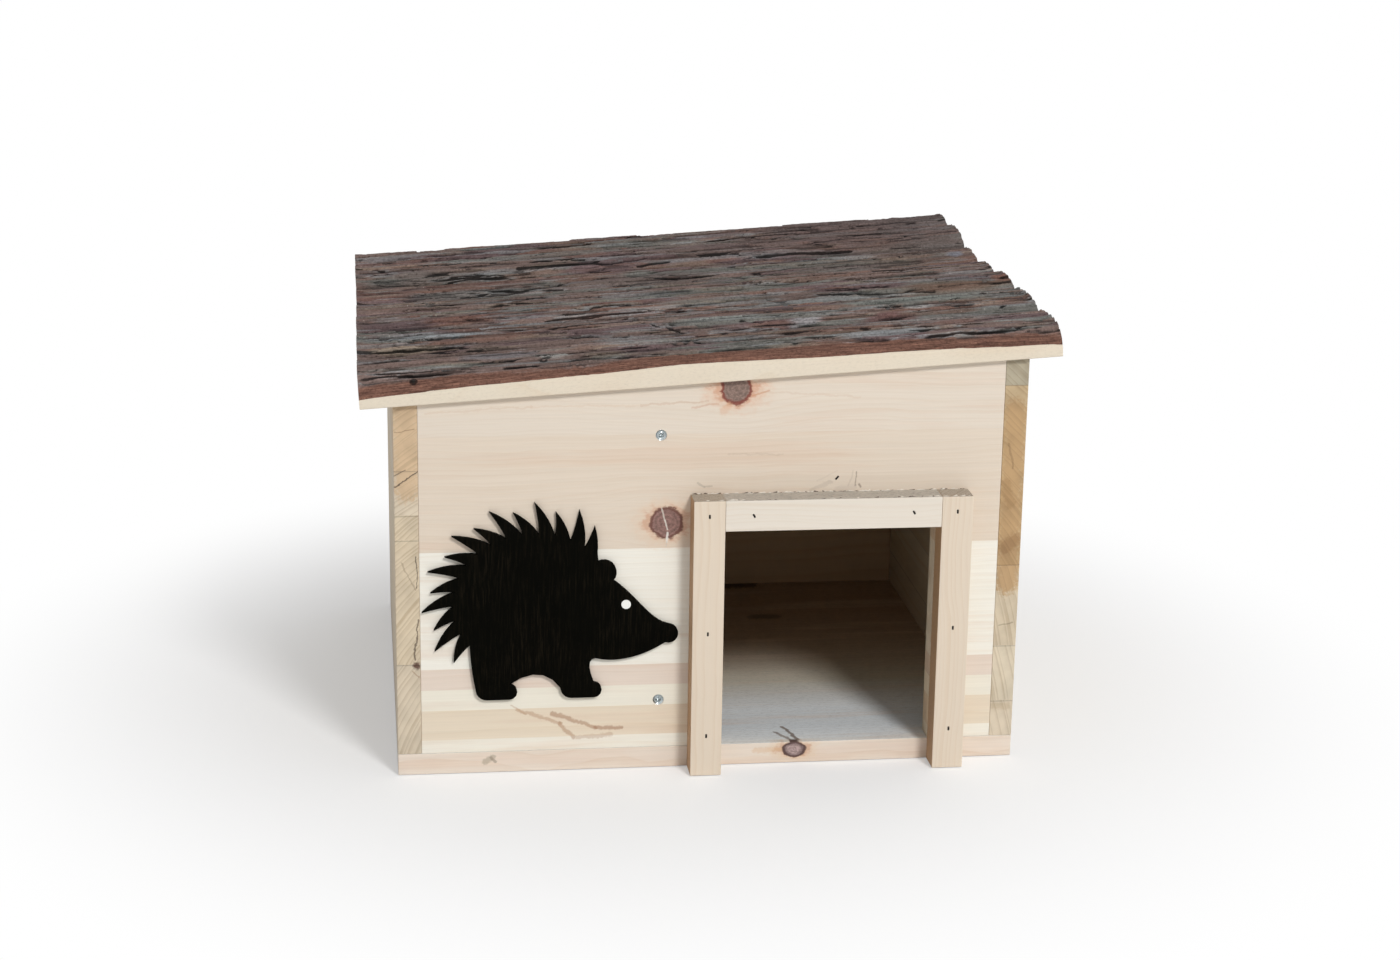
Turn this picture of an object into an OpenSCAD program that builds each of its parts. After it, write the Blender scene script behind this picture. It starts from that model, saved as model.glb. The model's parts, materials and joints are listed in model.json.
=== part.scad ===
// Hedgehog house of pine boards with a hinged lid of bark slabs.
// X runs to the right, Y to the back and Z up. The origin is the middle of the floor board's
// underside. The lid slopes along X, lower at the left, and opens on two hinges at the back.

/* [House] */
// Width over the two side panels
house_w = 400; // [380:1:460]
// Depth from the front panel's face to the back panel's face
house_d = 350; // [320:1:400]
// Height of the wall tops at the low left side
eave_h = 243; // [235:1:280]
// How much higher the wall tops are at the right side
rise = 25; // [12:1:40]
// Thickness of the side, front and back panels and of the partition
wall_t = 15; // [12:0.5:18]
// Thickness of the floor board
floor_t = 14; // [12:0.5:18]

/* [Entrance] */
// Clear width between the entrance posts
door_w = 138; // [120:1:145]
// Clear height from the floor board to the lintel
door_h = 149; // [130:1:155]
// Distance from the house's right face to the opening
door_inset = 56.5; // [50:0.5:65]
// Face width of the posts and of the lintel
frame_w = 20; // [16:0.5:24]
// Depth of the posts and of the lintel, in front of the front panel
frame_d = 18; // [12:0.5:22]

/* [Partition] */
// Distance from the entrance's left side to the partition
partition_setback = 31.5; // [25:0.5:45]
// Way round the partition's end, in front of the back panel
passage_gap = 130; // [110:1:160]
// Gap between the partition and the slabs above it
partition_gap = 3; // [1:0.5:6]
// Distance of the partition's screws from its ends
partition_screw_inset = 32; // [20:1:45]

/* [Silhouette] */
// Thickness of its plywood
silhouette_t = 3; // [2:0.5:6]
// Height of its feet above the floor board
silhouette_lift = 36; // [20:1:80]
// Distance from the house's left face to its rump
silhouette_inset = 16; // [5:0.5:40]
// Gap between its nose and the left entrance post
silhouette_post_gap = 7; // [2:0.5:40]
// Number of spines along its back
silhouette_spines = 15; // [8:1:22]
// Diameter of its eye
eye_d = 6; // [4:0.5:9]

/* [Lid] */
// How far the slabs reach past the side panels
side_overhang = 20; // [10:1:35]
// How far the front slab reaches past the front panel
front_overhang = 5; // [0:0.5:12]
// How far the rear slab reaches past the back panel
rear_overhang = 20; // [18:1:30]
// How far the rear slab reaches onto the battens
rear_lap = 7.5; // [6:0.5:12]
// Gap between the closed lid and the wall tops
seat_gap = 0.3; // [0.2:0.05:0.5]
// Thickness of the bark on a slab's crown
bark_crown_t = 6; // [4:0.5:9]
// Thickness of the bark at a slab's edges
bark_edge_t = 2.5; // [2.25:0.25:4]
// How far the bark's plates stand above the furrows between them
plate_t = 1.5; // [0.8:0.1:1.8]
// Spacing of the plates across a slab
plate_pitch = 8.5; // [6:0.5:14]
// Spacing of the plates along a slab
plate_len = 85; // [50:5:140]
// Width of the cracks between neighbouring plates
crack_w = 1.4; // [0.8:0.1:2.5]
// Width of the two battens that hold the slabs together
batten_w = 20; // [14:1:30]
// Height of these battens
batten_h = 18; // [14:1:24]
// Space between the battens and the front and side panels
batten_gap = 6; // [4:0.5:12]
// Space between the battens and the back panel
batten_end_gap = 2; // [1.5:0.25:3]

/* [Hinges] */
// Distance from the house's side to the near end of each hinge
hinge_inset = 52; // [45:1:90]
// Length of a hinge
hinge_len = 40; // [30:1:50]
// Number of knuckles on a hinge
knuckles = 5; // [3:2:7]
// Width of a leaf, measured from the pin's axis
leaf_w = 13; // [11:0.5:14]
// Thickness of a leaf
leaf_t = 1.2; // [0.8:0.1:1.6]
// Outer diameter of the knuckles
barrel_d = 5; // [4.5:0.1:6]
// Diameter of the hinge pin
pin_d = 2.5; // [2:0.1:3]
// Radial clearance of the pin in the knuckles
pin_gap = 0.05; // [0.02:0.01:0.1]
// Running gap between neighbouring knuckles, and between the barrel and the wood
knuckle_gap = 0.3; // [0.2:0.05:0.5]

/* [Fasteners] */
// Shank diameter of the wood screws
screw_d = 3.5; // [3:0.1:4]
// Head diameter of the wood screws
screw_head_d = 7; // [6:0.1:8]
// Length of the wood screws
screw_len = 37; // [30:1:40]
// How deep the screw heads are sunk
screw_sink = 0.8; // [0.2:0.1:1.5]
// Shank diameter of the hinge screws
hinge_screw_d = 2.4; // [2:0.1:3]
// Head diameter of the hinge screws
hinge_screw_head_d = 4.6; // [4:0.1:5]
// Length of the hinge screws
hinge_screw_len = 11; // [8:0.5:11]
// Shank diameter of the slab nails
nail_d = 2.2; // [1.8:0.1:3]
// Head diameter of the slab nails
nail_head_d = 4.6; // [4:0.1:6]
// Length of the slab nails
nail_len = 34; // [31:0.5:36]
// Length of the tacks that pin the front slab's bark
tack_len = 11; // [8:0.5:12]
// Distance of the lowest and highest side screws from the floor board and from the wall tops
side_screw_inset = 31; // [20:1:45]
// Length of the brads in the entrance frame
brad_len = 25; // [23:0.5:30]
// Width of a brad's flat head
brad_w = 2.6; // [1.5:0.1:3.5]
// Thickness of a brad
brad_t = 1.1; // [0.8:0.1:1.6]
// Space round the shank and head of every screw, nail and brad
fit_gap = 0.1; // [0.05:0.01:0.2]

/* [Hidden] */
$fn = 48;
eps = 0.01;

// Shares that the slabs in front of the rear one take of the depth there
slab_share = [12, 13, 11.5, 10, 9, 11];
// Height of the sawn wood at each seam, from the front edge to the rear edge
seam_wood = [9, 11, 12, 10.5, 9, 12.5, 16, 15];
// How far each slab's wood is crowned above its seams
slab_rise = [5, 5.5, 6.5, 5, 4, 8, 7.5];
crown_power = 2.8;
crown_steps = 28;
// Height of every second plate as a share of the others
low_plate_share = 0.55;
// How far plates start early or late, as a share of their spacing
plate_jitter = 0.5;
plate_seed = 7;
// How far a plate's own solid reaches down into the bark under it
plate_root = 0.5;

half_w = house_w / 2;
half_d = house_d / 2;
pitch = atan(rise / house_w);
front_y = -half_d;
back_y = half_d;
left_x = -half_w;
right_x = half_w;
door_r = right_x - door_inset;
door_l = door_r - door_w;
door_top = floor_t + door_h;
frame_top = door_top + frame_w;
partition_mid = door_l - partition_setback - wall_t / 2;
partition_front = front_y + wall_t;
partition_back = back_y - wall_t - passage_gap;

lid_front = front_y - front_overhang;
lid_back = back_y + rear_overhang;
lid_left = -side_overhang;
lid_right = house_w / cos(pitch) + side_overhang;
lid_span = house_w / cos(pitch);
share_sum = sum_to(len(slab_share));
last_slab = len(slab_share);
batten_front = partition_front + batten_gap;
batten_back = back_y - wall_t - batten_end_gap;
rear_seam = batten_back - rear_lap;
batten_mids = [wall_t + batten_gap + batten_w / 2, lid_span - wall_t - batten_gap - batten_w / 2];
nail_head_t = 0.8;
nail_sink = 0.2;
tack_spots = [[14, 5], [95, 15]];
tack_d = 1.6;
tack_head_d = 2.6;
tack_sink = 0.4;
// How far a hole for a nail reaches above the bark
hole_rise = 3;

barrel_r = barrel_d / 2;
// Distance from a hinge's axis to the wood that its leaves lie on
wood_gap = barrel_r + knuckle_gap;
axis_y = back_y + wood_gap;
axis_z = seat_gap - wood_gap;
hinge_starts = [hinge_inset, lid_span - hinge_inset - hinge_len];
pin_head_t = 0.6;
pin_head_d = barrel_d - 1;
leaf_screw_in = hinge_len / 5;
leaf_screw_out = (wood_gap + leaf_w) / 2;
// How far a drilled bore reaches past what it goes through
drill_past = 1;

brad_lift = 13;
brad_low = floor_t + brad_lift;
brad_mid_share = 0.47;
brad_from_end = 18;
post_brad_turn = 90;
lintel_brad_turn = 60;
floor_screw_share = 0.75;
partition_floor_shares = [0.3, 0.8];

// Width of the flat hedgehog from rump to nose, which fills its place beside the entrance
silhouette_w = door_l - frame_w - silhouette_post_gap - left_x - silhouette_inset;
// The hedgehog as it is drawn, before it is scaled to that width. Its feet stand at zero height.
drawn_w = 160;
eye_proud = 0.2;
back_mid = [70, 63];
back_r = [50, 45];
spine_from = 40;
spine_to = 216;
spine_step = (spine_to - spine_from) / silhouette_spines;
spine_len = [15, 20];
spine_tip_share = 0.75;
spine_bulge = 0.55;
spine_lean = 6;
rear_foot_x = 33;
front_foot_x = 86;
foot_len = 26;
heel_r = 7;
toe_r = 5;
rump_sag = [3, 16];
belly_low = [74, 24];
throat = [108, 26];
chin = [[122, 22], [139, 27]];
nose_mid = [154, 41];
nose_r = 6;
brow = [[142, 50], [134, 66]];
ear_mid = [113, 82];
ear_r = 8;
eye_spot = [127, 61];
// Angles from which and to which the rounded parts turn
heel_turn = [170, 270];
toe_turn = [-90, 90];
nose_turn = [-110, 75];
ear_turn = [-40, 115];

pine = "#e3d3ba";
pine_dark = "#d6bf9c";
bark_brown = "#6f625b";
plywood_black = "#1c1a19";
zinc = "#a9adb1";

// Height of the wall tops at a given x
function roof_z(x) = eave_h + (x - left_x) * rise / house_w;

// Sum of the first n slab shares
function sum_to(n) = n == 0 ? 0 : slab_share[n - 1] + sum_to(n - 1);

// Place of seam i across the lid
function seam_y(i) =
    i > last_slab ? lid_back : lid_front + (rear_seam - lid_front) * sum_to(i) / share_sum;
function slab_width(k) = seam_y(k + 1) - seam_y(k);

// Shape of a slab's top from seam to seam, 0 at the seams and 1 on the crown
function lump(u) = sqrt(max(0, 1 - pow(abs(2 * u - 1), crown_power)));
function seam_line(k, u) = seam_wood[k] * (1 - u) + seam_wood[k + 1] * u;
function wood_top(k, u) = seat_gap + seam_line(k, u) + slab_rise[k] * lump(u);

// Height of the bark's plates, and of the furrows between them
function bark_top(k, u) = wood_top(k, u) + bark_edge_t + (bark_crown_t - bark_edge_t) * lump(u);
function furrow_top(k, u) = bark_top(k, u) - plate_t;

// Points along slab k's top in order, closer together on its steep flanks
function crown_u(i) = (1 - cos(180 * i / crown_steps)) / 2;
function wood_line(k) =
    [for (i = [0:crown_steps]) [seam_y(k) + slab_width(k) * crown_u(i), wood_top(k, crown_u(i))]];
function bark_line(k, rise, steps) =
    [for (i = steps) [seam_y(k) + slab_width(k) * crown_u(i), furrow_top(k, crown_u(i)) + rise]];

// Slab that lies over a given y, and the height of its furrows there
function slab_at(y, k = 0) = k >= last_slab || y < seam_y(k + 1) ? k : slab_at(y, k + 1);
function furrow_at(y) = furrow_top(slab_at(y), (y - seam_y(slab_at(y))) / slab_width(slab_at(y)));

// Middle of the stretch in which slab k lies on the battens
function nail_y(k) = (max(seam_y(k), batten_front) + min(seam_y(k + 1), batten_back)) / 2;

// Moves its children from the lid's own frame, in which X runs up the slope and Z is square to it
module on_slope() {
    translate([left_x, 0, eave_h])
        rotate([0, -pitch, 0])
            children();
}

// Extrudes an outline drawn in X and Z from y0 to y1
module along_y(y0, y1) {
    translate([0, y1, 0])
        rotate([90, 0, 0])
            linear_extrude(y1 - y0)
                children();
}

// Upright board from x0 to x1 whose top follows the slope
module sloped_board(x0, x1, y0, y1, gap = 0) {
    along_y(y0, y1)
        polygon([[x0, floor_t], [x1, floor_t], [x1, roof_z(x1) - gap], [x0, roof_z(x0) - gap]]);
}

// Countersunk screw that points down, with its board's surface at z = 0
module screw(d, head_d, length, sink, g = 0) {
    head_h = (head_d - d) / 2;
    tip = d;
    rotate_extrude()
        polygon([
            [0, g > 0 ? eps : -sink], [head_d / 2 + g, g > 0 ? eps : -sink], [head_d / 2 + g, -sink],
            [d / 2 + g, -sink - head_h], [d / 2 + g, -length + tip], [0, -length - g]
        ]);
}

// Nail that points down, with the top of its flat head at z = 0
module nail(d, head_d, length, g = 0) {
    top = g > 0 ? hole_rise : 0;
    rotate_extrude()
        polygon([
            [0, top], [head_d / 2 + g, top], [head_d / 2 + g, -nail_head_t - g],
            [d / 2 + g, -nail_head_t - g], [d / 2 + g, -length + d], [0, -length - g]
        ]);
}

module side_screw_holes_or_screws(g = 0) {
    for (side = [-1, 1], y = [front_y + wall_t / 2, back_y - wall_t / 2]) {
        low = floor_t + side_screw_inset;
        high = roof_z(side * half_w) - side_screw_inset;
        for (z = [low, (low + high) / 2, high])
            translate([side * half_w, y, z])
                rotate([0, side * 90, 0])
                    screw(screw_d, screw_head_d, screw_len, screw_sink, g);
    }
}

module floor_screw_holes_or_screws(g = 0) {
    wall_mid = half_w - wall_t / 2;
    panel_mid = half_d - wall_t / 2;
    leg_mid = (door_r + right_x - wall_t) / 2;
    side_spots = [for (x = [-wall_mid, wall_mid], t = [-1, 0, 1]) [x, t * floor_screw_share * panel_mid]];
    panel_spots = [[(left_x + door_l) / 2, -panel_mid], [leg_mid, -panel_mid],
                   [-half_w / 2, panel_mid], [half_w / 2, panel_mid]];
    partition_spots = [for (t = partition_floor_shares)
        [partition_mid, partition_front + t * (partition_back - partition_front)]];
    for (p = concat(side_spots, panel_spots, partition_spots))
        translate([p[0], p[1], 0])
            rotate([180, 0, 0])
                screw(screw_d, screw_head_d, screw_len, screw_sink, g);
}

module partition_screw_holes_or_screws(g = 0) {
    for (z = [floor_t + partition_screw_inset, roof_z(partition_mid) - partition_screw_inset])
        translate([partition_mid, front_y, z])
            rotate([90, 0, 0])
                screw(screw_d, screw_head_d, screw_len, screw_sink, g);
}

module brad(g = 0) {
    translate([-brad_w / 2 - g, -g, -brad_t / 2 - g])
        cube([brad_w + 2 * g, brad_len + 2 * g, brad_t + 2 * g]);
}

module brad_holes_or_brads(g = 0) {
    lintel_mid = door_top + frame_w / 2;
    post_mids = [door_l - frame_w / 2, door_r + frame_w / 2];
    brad_mid = brad_low + brad_mid_share * (lintel_mid - brad_low);
    posts = [for (x = post_mids, z = [brad_low, brad_mid, lintel_mid]) [x, z, post_brad_turn]];
    lintel = [for (x = [door_l + brad_from_end, door_r - brad_from_end]) [x, lintel_mid, lintel_brad_turn]];
    for (b = concat(posts, lintel))
        translate([b[0], front_y - frame_d - (g > 0 ? eps : 0), b[1]])
            rotate([0, b[2], 0])
                brad(g);
}

// Moves its children to a hinge's axis. They are drawn for the leaf that hangs on the back panel,
// and for the lid's leaf they are mirrored to lie under the rear slab.
module at_hinge(start, on_lid) {
    on_slope()
        translate([start, axis_y, axis_z])
            if (on_lid)
                mirror([0, 1, 1])
                    children();
            else
                children();
}

module leaf_screw_holes_or_screws(on_lid, g = 0) {
    for (start = hinge_starts, x = [leaf_screw_in, hinge_len - leaf_screw_in])
        at_hinge(start, on_lid)
            translate([x, leaf_t - wood_gap, -leaf_screw_out])
                rotate([-90, 0, 0])
                    screw(hinge_screw_d, hinge_screw_head_d, hinge_screw_len + leaf_t, 0, g);
}

module slab_nail_holes_or_nails(g = 0) {
    on_slope()
        for (k = [0:last_slab], x = batten_mids)
            translate([x, nail_y(k), furrow_at(nail_y(k)) - nail_sink])
                nail(nail_d, nail_head_d, nail_len, g);
}

module tack_holes_or_tacks(g = 0) {
    on_slope()
        for (t = tack_spots)
            translate([t[0], lid_front + t[1], furrow_at(lid_front + t[1]) - tack_sink])
                nail(tack_d, tack_head_d, tack_len, g);
}

module floor_board() {
    color(pine)
        difference() {
            translate([left_x, front_y, 0])
                cube([house_w, house_d, floor_t]);
            floor_screw_holes_or_screws(fit_gap);
        }
}

module side_panel(x0, x1) {
    color(pine)
        difference() {
            sloped_board(x0, x1, front_y, back_y);
            side_screw_holes_or_screws(fit_gap);
            floor_screw_holes_or_screws(fit_gap);
        }
}

module left_side_panel() {
    side_panel(left_x, left_x + wall_t);
}

module right_side_panel() {
    side_panel(right_x - wall_t, right_x);
}

module front_panel() {
    x0 = left_x + wall_t;
    x1 = right_x - wall_t;
    color(pine)
        difference() {
            along_y(front_y, front_y + wall_t)
                polygon([
                    [x0, floor_t], [door_l, floor_t], [door_l, door_top], [door_r, door_top],
                    [door_r, floor_t], [x1, floor_t], [x1, roof_z(x1)], [x0, roof_z(x0)]
                ]);
            side_screw_holes_or_screws(fit_gap);
            floor_screw_holes_or_screws(fit_gap);
            partition_screw_holes_or_screws(fit_gap);
            brad_holes_or_brads(fit_gap);
        }
}

module back_panel() {
    color(pine)
        difference() {
            sloped_board(left_x + wall_t, right_x - wall_t, back_y - wall_t, back_y);
            side_screw_holes_or_screws(fit_gap);
            floor_screw_holes_or_screws(fit_gap);
            leaf_screw_holes_or_screws(false, fit_gap);
        }
}

module partition() {
    color(pine)
        difference() {
            sloped_board(partition_mid - wall_t / 2, partition_mid + wall_t / 2,
                         partition_front, partition_back, partition_gap);
            floor_screw_holes_or_screws(fit_gap);
            partition_screw_holes_or_screws(fit_gap);
        }
}

module entrance_post(x) {
    color(pine_dark)
        difference() {
            translate([x, front_y - frame_d, 0])
                cube([frame_w, frame_d, frame_top]);
            brad_holes_or_brads(fit_gap);
        }
}

module left_entrance_post() {
    entrance_post(door_l - frame_w);
}

module right_entrance_post() {
    entrance_post(door_r);
}

module entrance_lintel() {
    color(pine_dark)
        difference() {
            translate([door_l, front_y - frame_d, door_top])
                cube([door_w, frame_d, frame_w]);
            brad_holes_or_brads(fit_gap);
        }
}

// Point on the oval of the back at an angle, moved outwards by grow
function oval(a, grow = 0) = back_mid + [(back_r[0] + grow) * cos(a), (back_r[1] + grow) * sin(a)];
function arc(mid, r, turn, n = 6) =
    [for (i = [0:n]) let (a = turn[0] + (turn[1] - turn[0]) * i / n) mid + r * [cos(a), sin(a)]];

// Points on a bend from a towards b and round to c, without a itself
function bend(a, b, c, n = 5) =
    [for (i = [1:n]) let (t = i / n, s = 1 - t) s * s * a + 2 * s * t * b + t * t * c];
function curve(a, b, c, d, n = 10) =
    [for (i = [1:n - 1]) let (t = i / n, s = 1 - t)
        s * s * s * a + 3 * s * s * t * b + 3 * s * t * t * c + t * t * t * d];

// One spine, from its base nearer the face over its tip to its base nearer the rump
function spine_tip(i) =
    oval(spine_from + (i + spine_tip_share) * spine_step + spine_lean, spine_len[i % len(spine_len)]);
function spine(i) =
    let (a = spine_from + i * spine_step, out = spine_bulge * spine_len[i % len(spine_len)])
        concat(bend(oval(a), oval(a + spine_step / 2, out), spine_tip(i)),
               bend(spine_tip(i), oval(a + spine_step, out / 2), oval(a + spine_step)));

// Short foot with a round heel and toe, drawn from its heel
function foot(x) = concat(arc([x + heel_r, heel_r], heel_r, heel_turn),
                          arc([x + foot_len - toe_r, toe_r], toe_r, toe_turn));

module silhouette_outline() {
    ear = arc(ear_mid, ear_r, ear_turn, 9);
    rump = oval(spine_to);
    heel = [rear_foot_x, heel_r];
    scale(silhouette_w / drawn_w)
        polygon(concat(
            [for (i = [0:silhouette_spines - 1]) each spine(i)],
            bend(rump, [heel[0], rump[1]] - rump_sag, heel), foot(rear_foot_x),
            bend([rear_foot_x + foot_len - toe_r, 2 * toe_r], belly_low, [front_foot_x, heel_r]),
            foot(front_foot_x),
            bend([front_foot_x + foot_len - toe_r, 2 * toe_r], throat - [heel_r, 0], throat),
            curve(throat, chin[0], chin[1], nose_mid - [nose_r / 2, nose_r]),
            arc(nose_mid, nose_r, nose_turn, 9),
            curve(nose_mid + [0, nose_r], brow[0], brow[1], ear[0]),
            ear
        ));
}

module silhouette_place() {
    translate([left_x + silhouette_inset, front_y, floor_t + silhouette_lift])
        rotate([90, 0, 0])
            children();
}

module hedgehog_silhouette() {
    color(plywood_black)
        silhouette_place()
            difference() {
                linear_extrude(silhouette_t)
                    silhouette_outline();
                translate(concat(silhouette_w / drawn_w * eye_spot, [-drill_past]))
                    cylinder(d = eye_d + 2 * fit_gap, h = silhouette_t + 2 * drill_past);
            }
}

module hedgehog_eye() {
    color("white")
        silhouette_place()
            translate(concat(silhouette_w / drawn_w * eye_spot, [0]))
                cylinder(d = eye_d, h = silhouette_t + eye_proud);
}

// Sawn slab with a flat underside, straight edges and a crowned top
module roof_slab(k) {
    color(pine)
        difference() {
            on_slope()
                translate([lid_left, 0, 0])
                    rotate([90, 0, 90])
                        linear_extrude(lid_right - lid_left)
                            polygon(concat(wood_line(k),
                                           [[seam_y(k + 1), seat_gap], [seam_y(k), seat_gap]]));
            slab_nail_holes_or_nails(fit_gap);
            if (k == 0)
                tack_holes_or_tacks(fit_gap);
            if (k == last_slab)
                leaf_screw_holes_or_screws(true, fit_gap);
        }
}

// Layer over the whole length of slab k, from a line across the slab up to a rise above its furrows
module bark_layer(k, low_line, rise) {
    translate([lid_left, 0, 0])
        rotate([90, 0, 90])
            linear_extrude(lid_right - lid_left)
                polygon(concat(low_line, bark_line(k, rise, [crown_steps:-1:0])));
}

// Long plate that is pointed at both ends, seen from above
module plate_outline(x0, x1, w) {
    point = (x1 - x0) / 5;
    polygon([[x0, w / 8], [x0 + point, -w / 2], [x1 - 2 * point, -w / 2 + w / 8], [x1, -w / 8],
             [x1 - point, w / 2], [x0 + 2 * point, w / 2 - w / 8]]);
}

// Every second plate on slab k, or the others, seen from above
module plates(k, second) {
    lanes = max(3, round(slab_width(k) / plate_pitch));
    lane_w = slab_width(k) / lanes;
    count = ceil((lid_right - lid_left) / plate_len) + 1;
    for (j = [0:lanes - 1]) {
        late = rands(0, plate_jitter, count + 1, plate_seed + lanes * k + j);
        starts = [for (i = [0:count]) lid_left + plate_len * (i - 1 + late[i] + (j % 2) / 2)];
        for (i = [second:2:count - 1])
            translate([0, seam_y(k) + lane_w * (j + 0.5)])
                plate_outline(starts[i] + crack_w / 2, starts[i + 1] - crack_w / 2, lane_w - crack_w);
    }
}

// Bark on slab k, with long plates at two heights and furrows between them
module slab_bark(k) {
    color(bark_brown)
        difference() {
            on_slope() {
                bark_layer(k, wood_line(k), 0);
                for (second = [0, 1])
                    intersection() {
                        bark_layer(k, bark_line(k, -plate_root, [0:crown_steps]),
                                   plate_t * (second == 1 ? low_plate_share : 1));
                        linear_extrude(eave_h)
                            plates(k, second);
                    }
            }
            slab_nail_holes_or_nails(fit_gap);
            if (k == 0)
                tack_holes_or_tacks(fit_gap);
        }
}

module roof_batten(x) {
    color(pine_dark)
        difference() {
            on_slope()
                translate([x - batten_w / 2, batten_front, seat_gap - batten_h])
                    cube([batten_w, batten_back - batten_front, batten_h]);
            slab_nail_holes_or_nails(fit_gap);
        }
}

// One leaf of a hinge. Its plate lies on the wood and every second knuckle is its own.
module hinge_leaf(start, on_lid) {
    knuckle = hinge_len / knuckles;
    color(zinc)
        difference() {
            at_hinge(start, on_lid) {
                translate([0, -wood_gap, -leaf_w])
                    cube([hinge_len, leaf_t, leaf_w - wood_gap]);
                for (i = [on_lid ? 1 : 0:2:knuckles - 1]) {
                    x0 = i * knuckle + (i > 0 ? knuckle_gap / 2 : 0);
                    x1 = (i + 1) * knuckle - (i < knuckles - 1 ? knuckle_gap / 2 : 0);
                    translate([x0, -wood_gap, -wood_gap - eps])
                        cube([x1 - x0, leaf_t, wood_gap + eps]);
                    translate([x0, 0, 0])
                        rotate([0, 90, 0])
                            cylinder(d = barrel_d, h = x1 - x0);
                }
            }
            at_hinge(start, on_lid)
                translate([-drill_past, 0, 0])
                    rotate([0, 90, 0])
                        cylinder(d = pin_d + 2 * pin_gap, h = hinge_len + 2 * drill_past);
            leaf_screw_holes_or_screws(on_lid, fit_gap);
        }
}

module hinge_pin(start) {
    color(zinc)
        at_hinge(start, false)
            rotate([0, 90, 0]) {
                cylinder(d = pin_d, h = hinge_len);
                for (x = [-pin_head_t, hinge_len])
                    translate([0, 0, x])
                        cylinder(d = pin_head_d, h = pin_head_t);
            }
}

floor_board();
left_side_panel();
right_side_panel();
front_panel();
back_panel();
partition();
left_entrance_post();
right_entrance_post();
entrance_lintel();
hedgehog_silhouette();
hedgehog_eye();
roof_slab(0);  // roof_slab_1
roof_slab(1);  // roof_slab_2
roof_slab(2);  // roof_slab_3
roof_slab(3);  // roof_slab_4
roof_slab(4);  // roof_slab_5
roof_slab(5);  // roof_slab_6
roof_slab(6);  // roof_slab_7
slab_bark(0);  // slab_bark_1
slab_bark(1);  // slab_bark_2
slab_bark(2);  // slab_bark_3
slab_bark(3);  // slab_bark_4
slab_bark(4);  // slab_bark_5
slab_bark(5);  // slab_bark_6
slab_bark(6);  // slab_bark_7
roof_batten(batten_mids[0]);  // left_roof_batten
roof_batten(batten_mids[1]);  // right_roof_batten
hinge_leaf(hinge_starts[0], false);  // left_hinge_wall_leaf
hinge_leaf(hinge_starts[0], true);  // left_hinge_lid_leaf
hinge_pin(hinge_starts[0]);  // left_hinge_pin
hinge_leaf(hinge_starts[1], false);  // right_hinge_wall_leaf
hinge_leaf(hinge_starts[1], true);  // right_hinge_lid_leaf
hinge_pin(hinge_starts[1]);  // right_hinge_pin
color(zinc) leaf_screw_holes_or_screws(false);  // wall_leaf_screws
color(zinc) leaf_screw_holes_or_screws(true);  // lid_leaf_screws
color(zinc) side_screw_holes_or_screws();  // side_screws
color(zinc) floor_screw_holes_or_screws();  // floor_screws
color(zinc) partition_screw_holes_or_screws();  // partition_screws
color(zinc) slab_nail_holes_or_nails();  // slab_nails
color(zinc) tack_holes_or_tacks();  // bark_tacks
color(zinc) brad_holes_or_brads();  // entrance_brads
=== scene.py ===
"""Looks of the hedgehog house: pine boards, a lid of bark-covered slabs, screws, nails and hinges.

Lengths are in millimetres, apart from names that end in _m. Colours are from 0 to 255, as a picture
shows them. The lid has a frame of its own, with X up the slope from the house's left side, Y to the
back and Z square to the slope.
"""
import json
import math

import bmesh
import bpy
import numpy as np
from mathutils import Matrix, Vector
from mathutils.bvhtree import BVHTree

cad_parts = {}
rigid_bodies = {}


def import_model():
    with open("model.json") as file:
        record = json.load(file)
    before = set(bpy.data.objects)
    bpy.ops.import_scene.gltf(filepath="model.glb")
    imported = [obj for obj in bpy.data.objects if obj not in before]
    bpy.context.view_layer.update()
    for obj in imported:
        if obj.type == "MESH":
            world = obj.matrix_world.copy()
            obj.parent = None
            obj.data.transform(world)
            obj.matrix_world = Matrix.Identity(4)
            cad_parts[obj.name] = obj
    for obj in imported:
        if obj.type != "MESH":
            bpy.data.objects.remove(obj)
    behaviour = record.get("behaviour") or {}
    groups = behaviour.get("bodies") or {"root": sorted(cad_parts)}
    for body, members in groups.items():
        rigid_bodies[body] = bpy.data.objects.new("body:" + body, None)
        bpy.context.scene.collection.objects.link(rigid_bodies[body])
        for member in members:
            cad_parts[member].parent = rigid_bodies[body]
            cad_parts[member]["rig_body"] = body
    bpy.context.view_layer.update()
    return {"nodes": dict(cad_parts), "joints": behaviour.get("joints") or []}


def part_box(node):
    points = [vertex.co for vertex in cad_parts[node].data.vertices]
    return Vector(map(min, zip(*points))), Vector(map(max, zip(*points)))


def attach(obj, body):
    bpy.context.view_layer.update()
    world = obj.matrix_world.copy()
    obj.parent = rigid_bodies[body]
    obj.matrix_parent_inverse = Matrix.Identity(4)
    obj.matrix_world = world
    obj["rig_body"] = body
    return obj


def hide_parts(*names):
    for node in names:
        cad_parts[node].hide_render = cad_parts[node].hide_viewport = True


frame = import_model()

MM = 0.001

# Camera, found from the photograph's edges
LENS_MM = 67.611
CAMERA_AT_M = (-0.217278, -1.753048, 0.635595)
CAMERA_RIGHT = (0.991817, -0.126730, 0.015463)
CAMERA_UP = (0.019256, 0.268218, 0.963166)
CAMERA_AHEAD = (0.126209, 0.954986, -0.268463)

# Lamps: name, place, target and size in m, and power in W
LAMPS = (("key", (1.15, -3.2, 2.7), (0, 0, 0.1), 0.9, 95), ("fill", (-2.2, -2.0, 1.4), (0, 0, 0.15), 2.0, 2))
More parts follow.
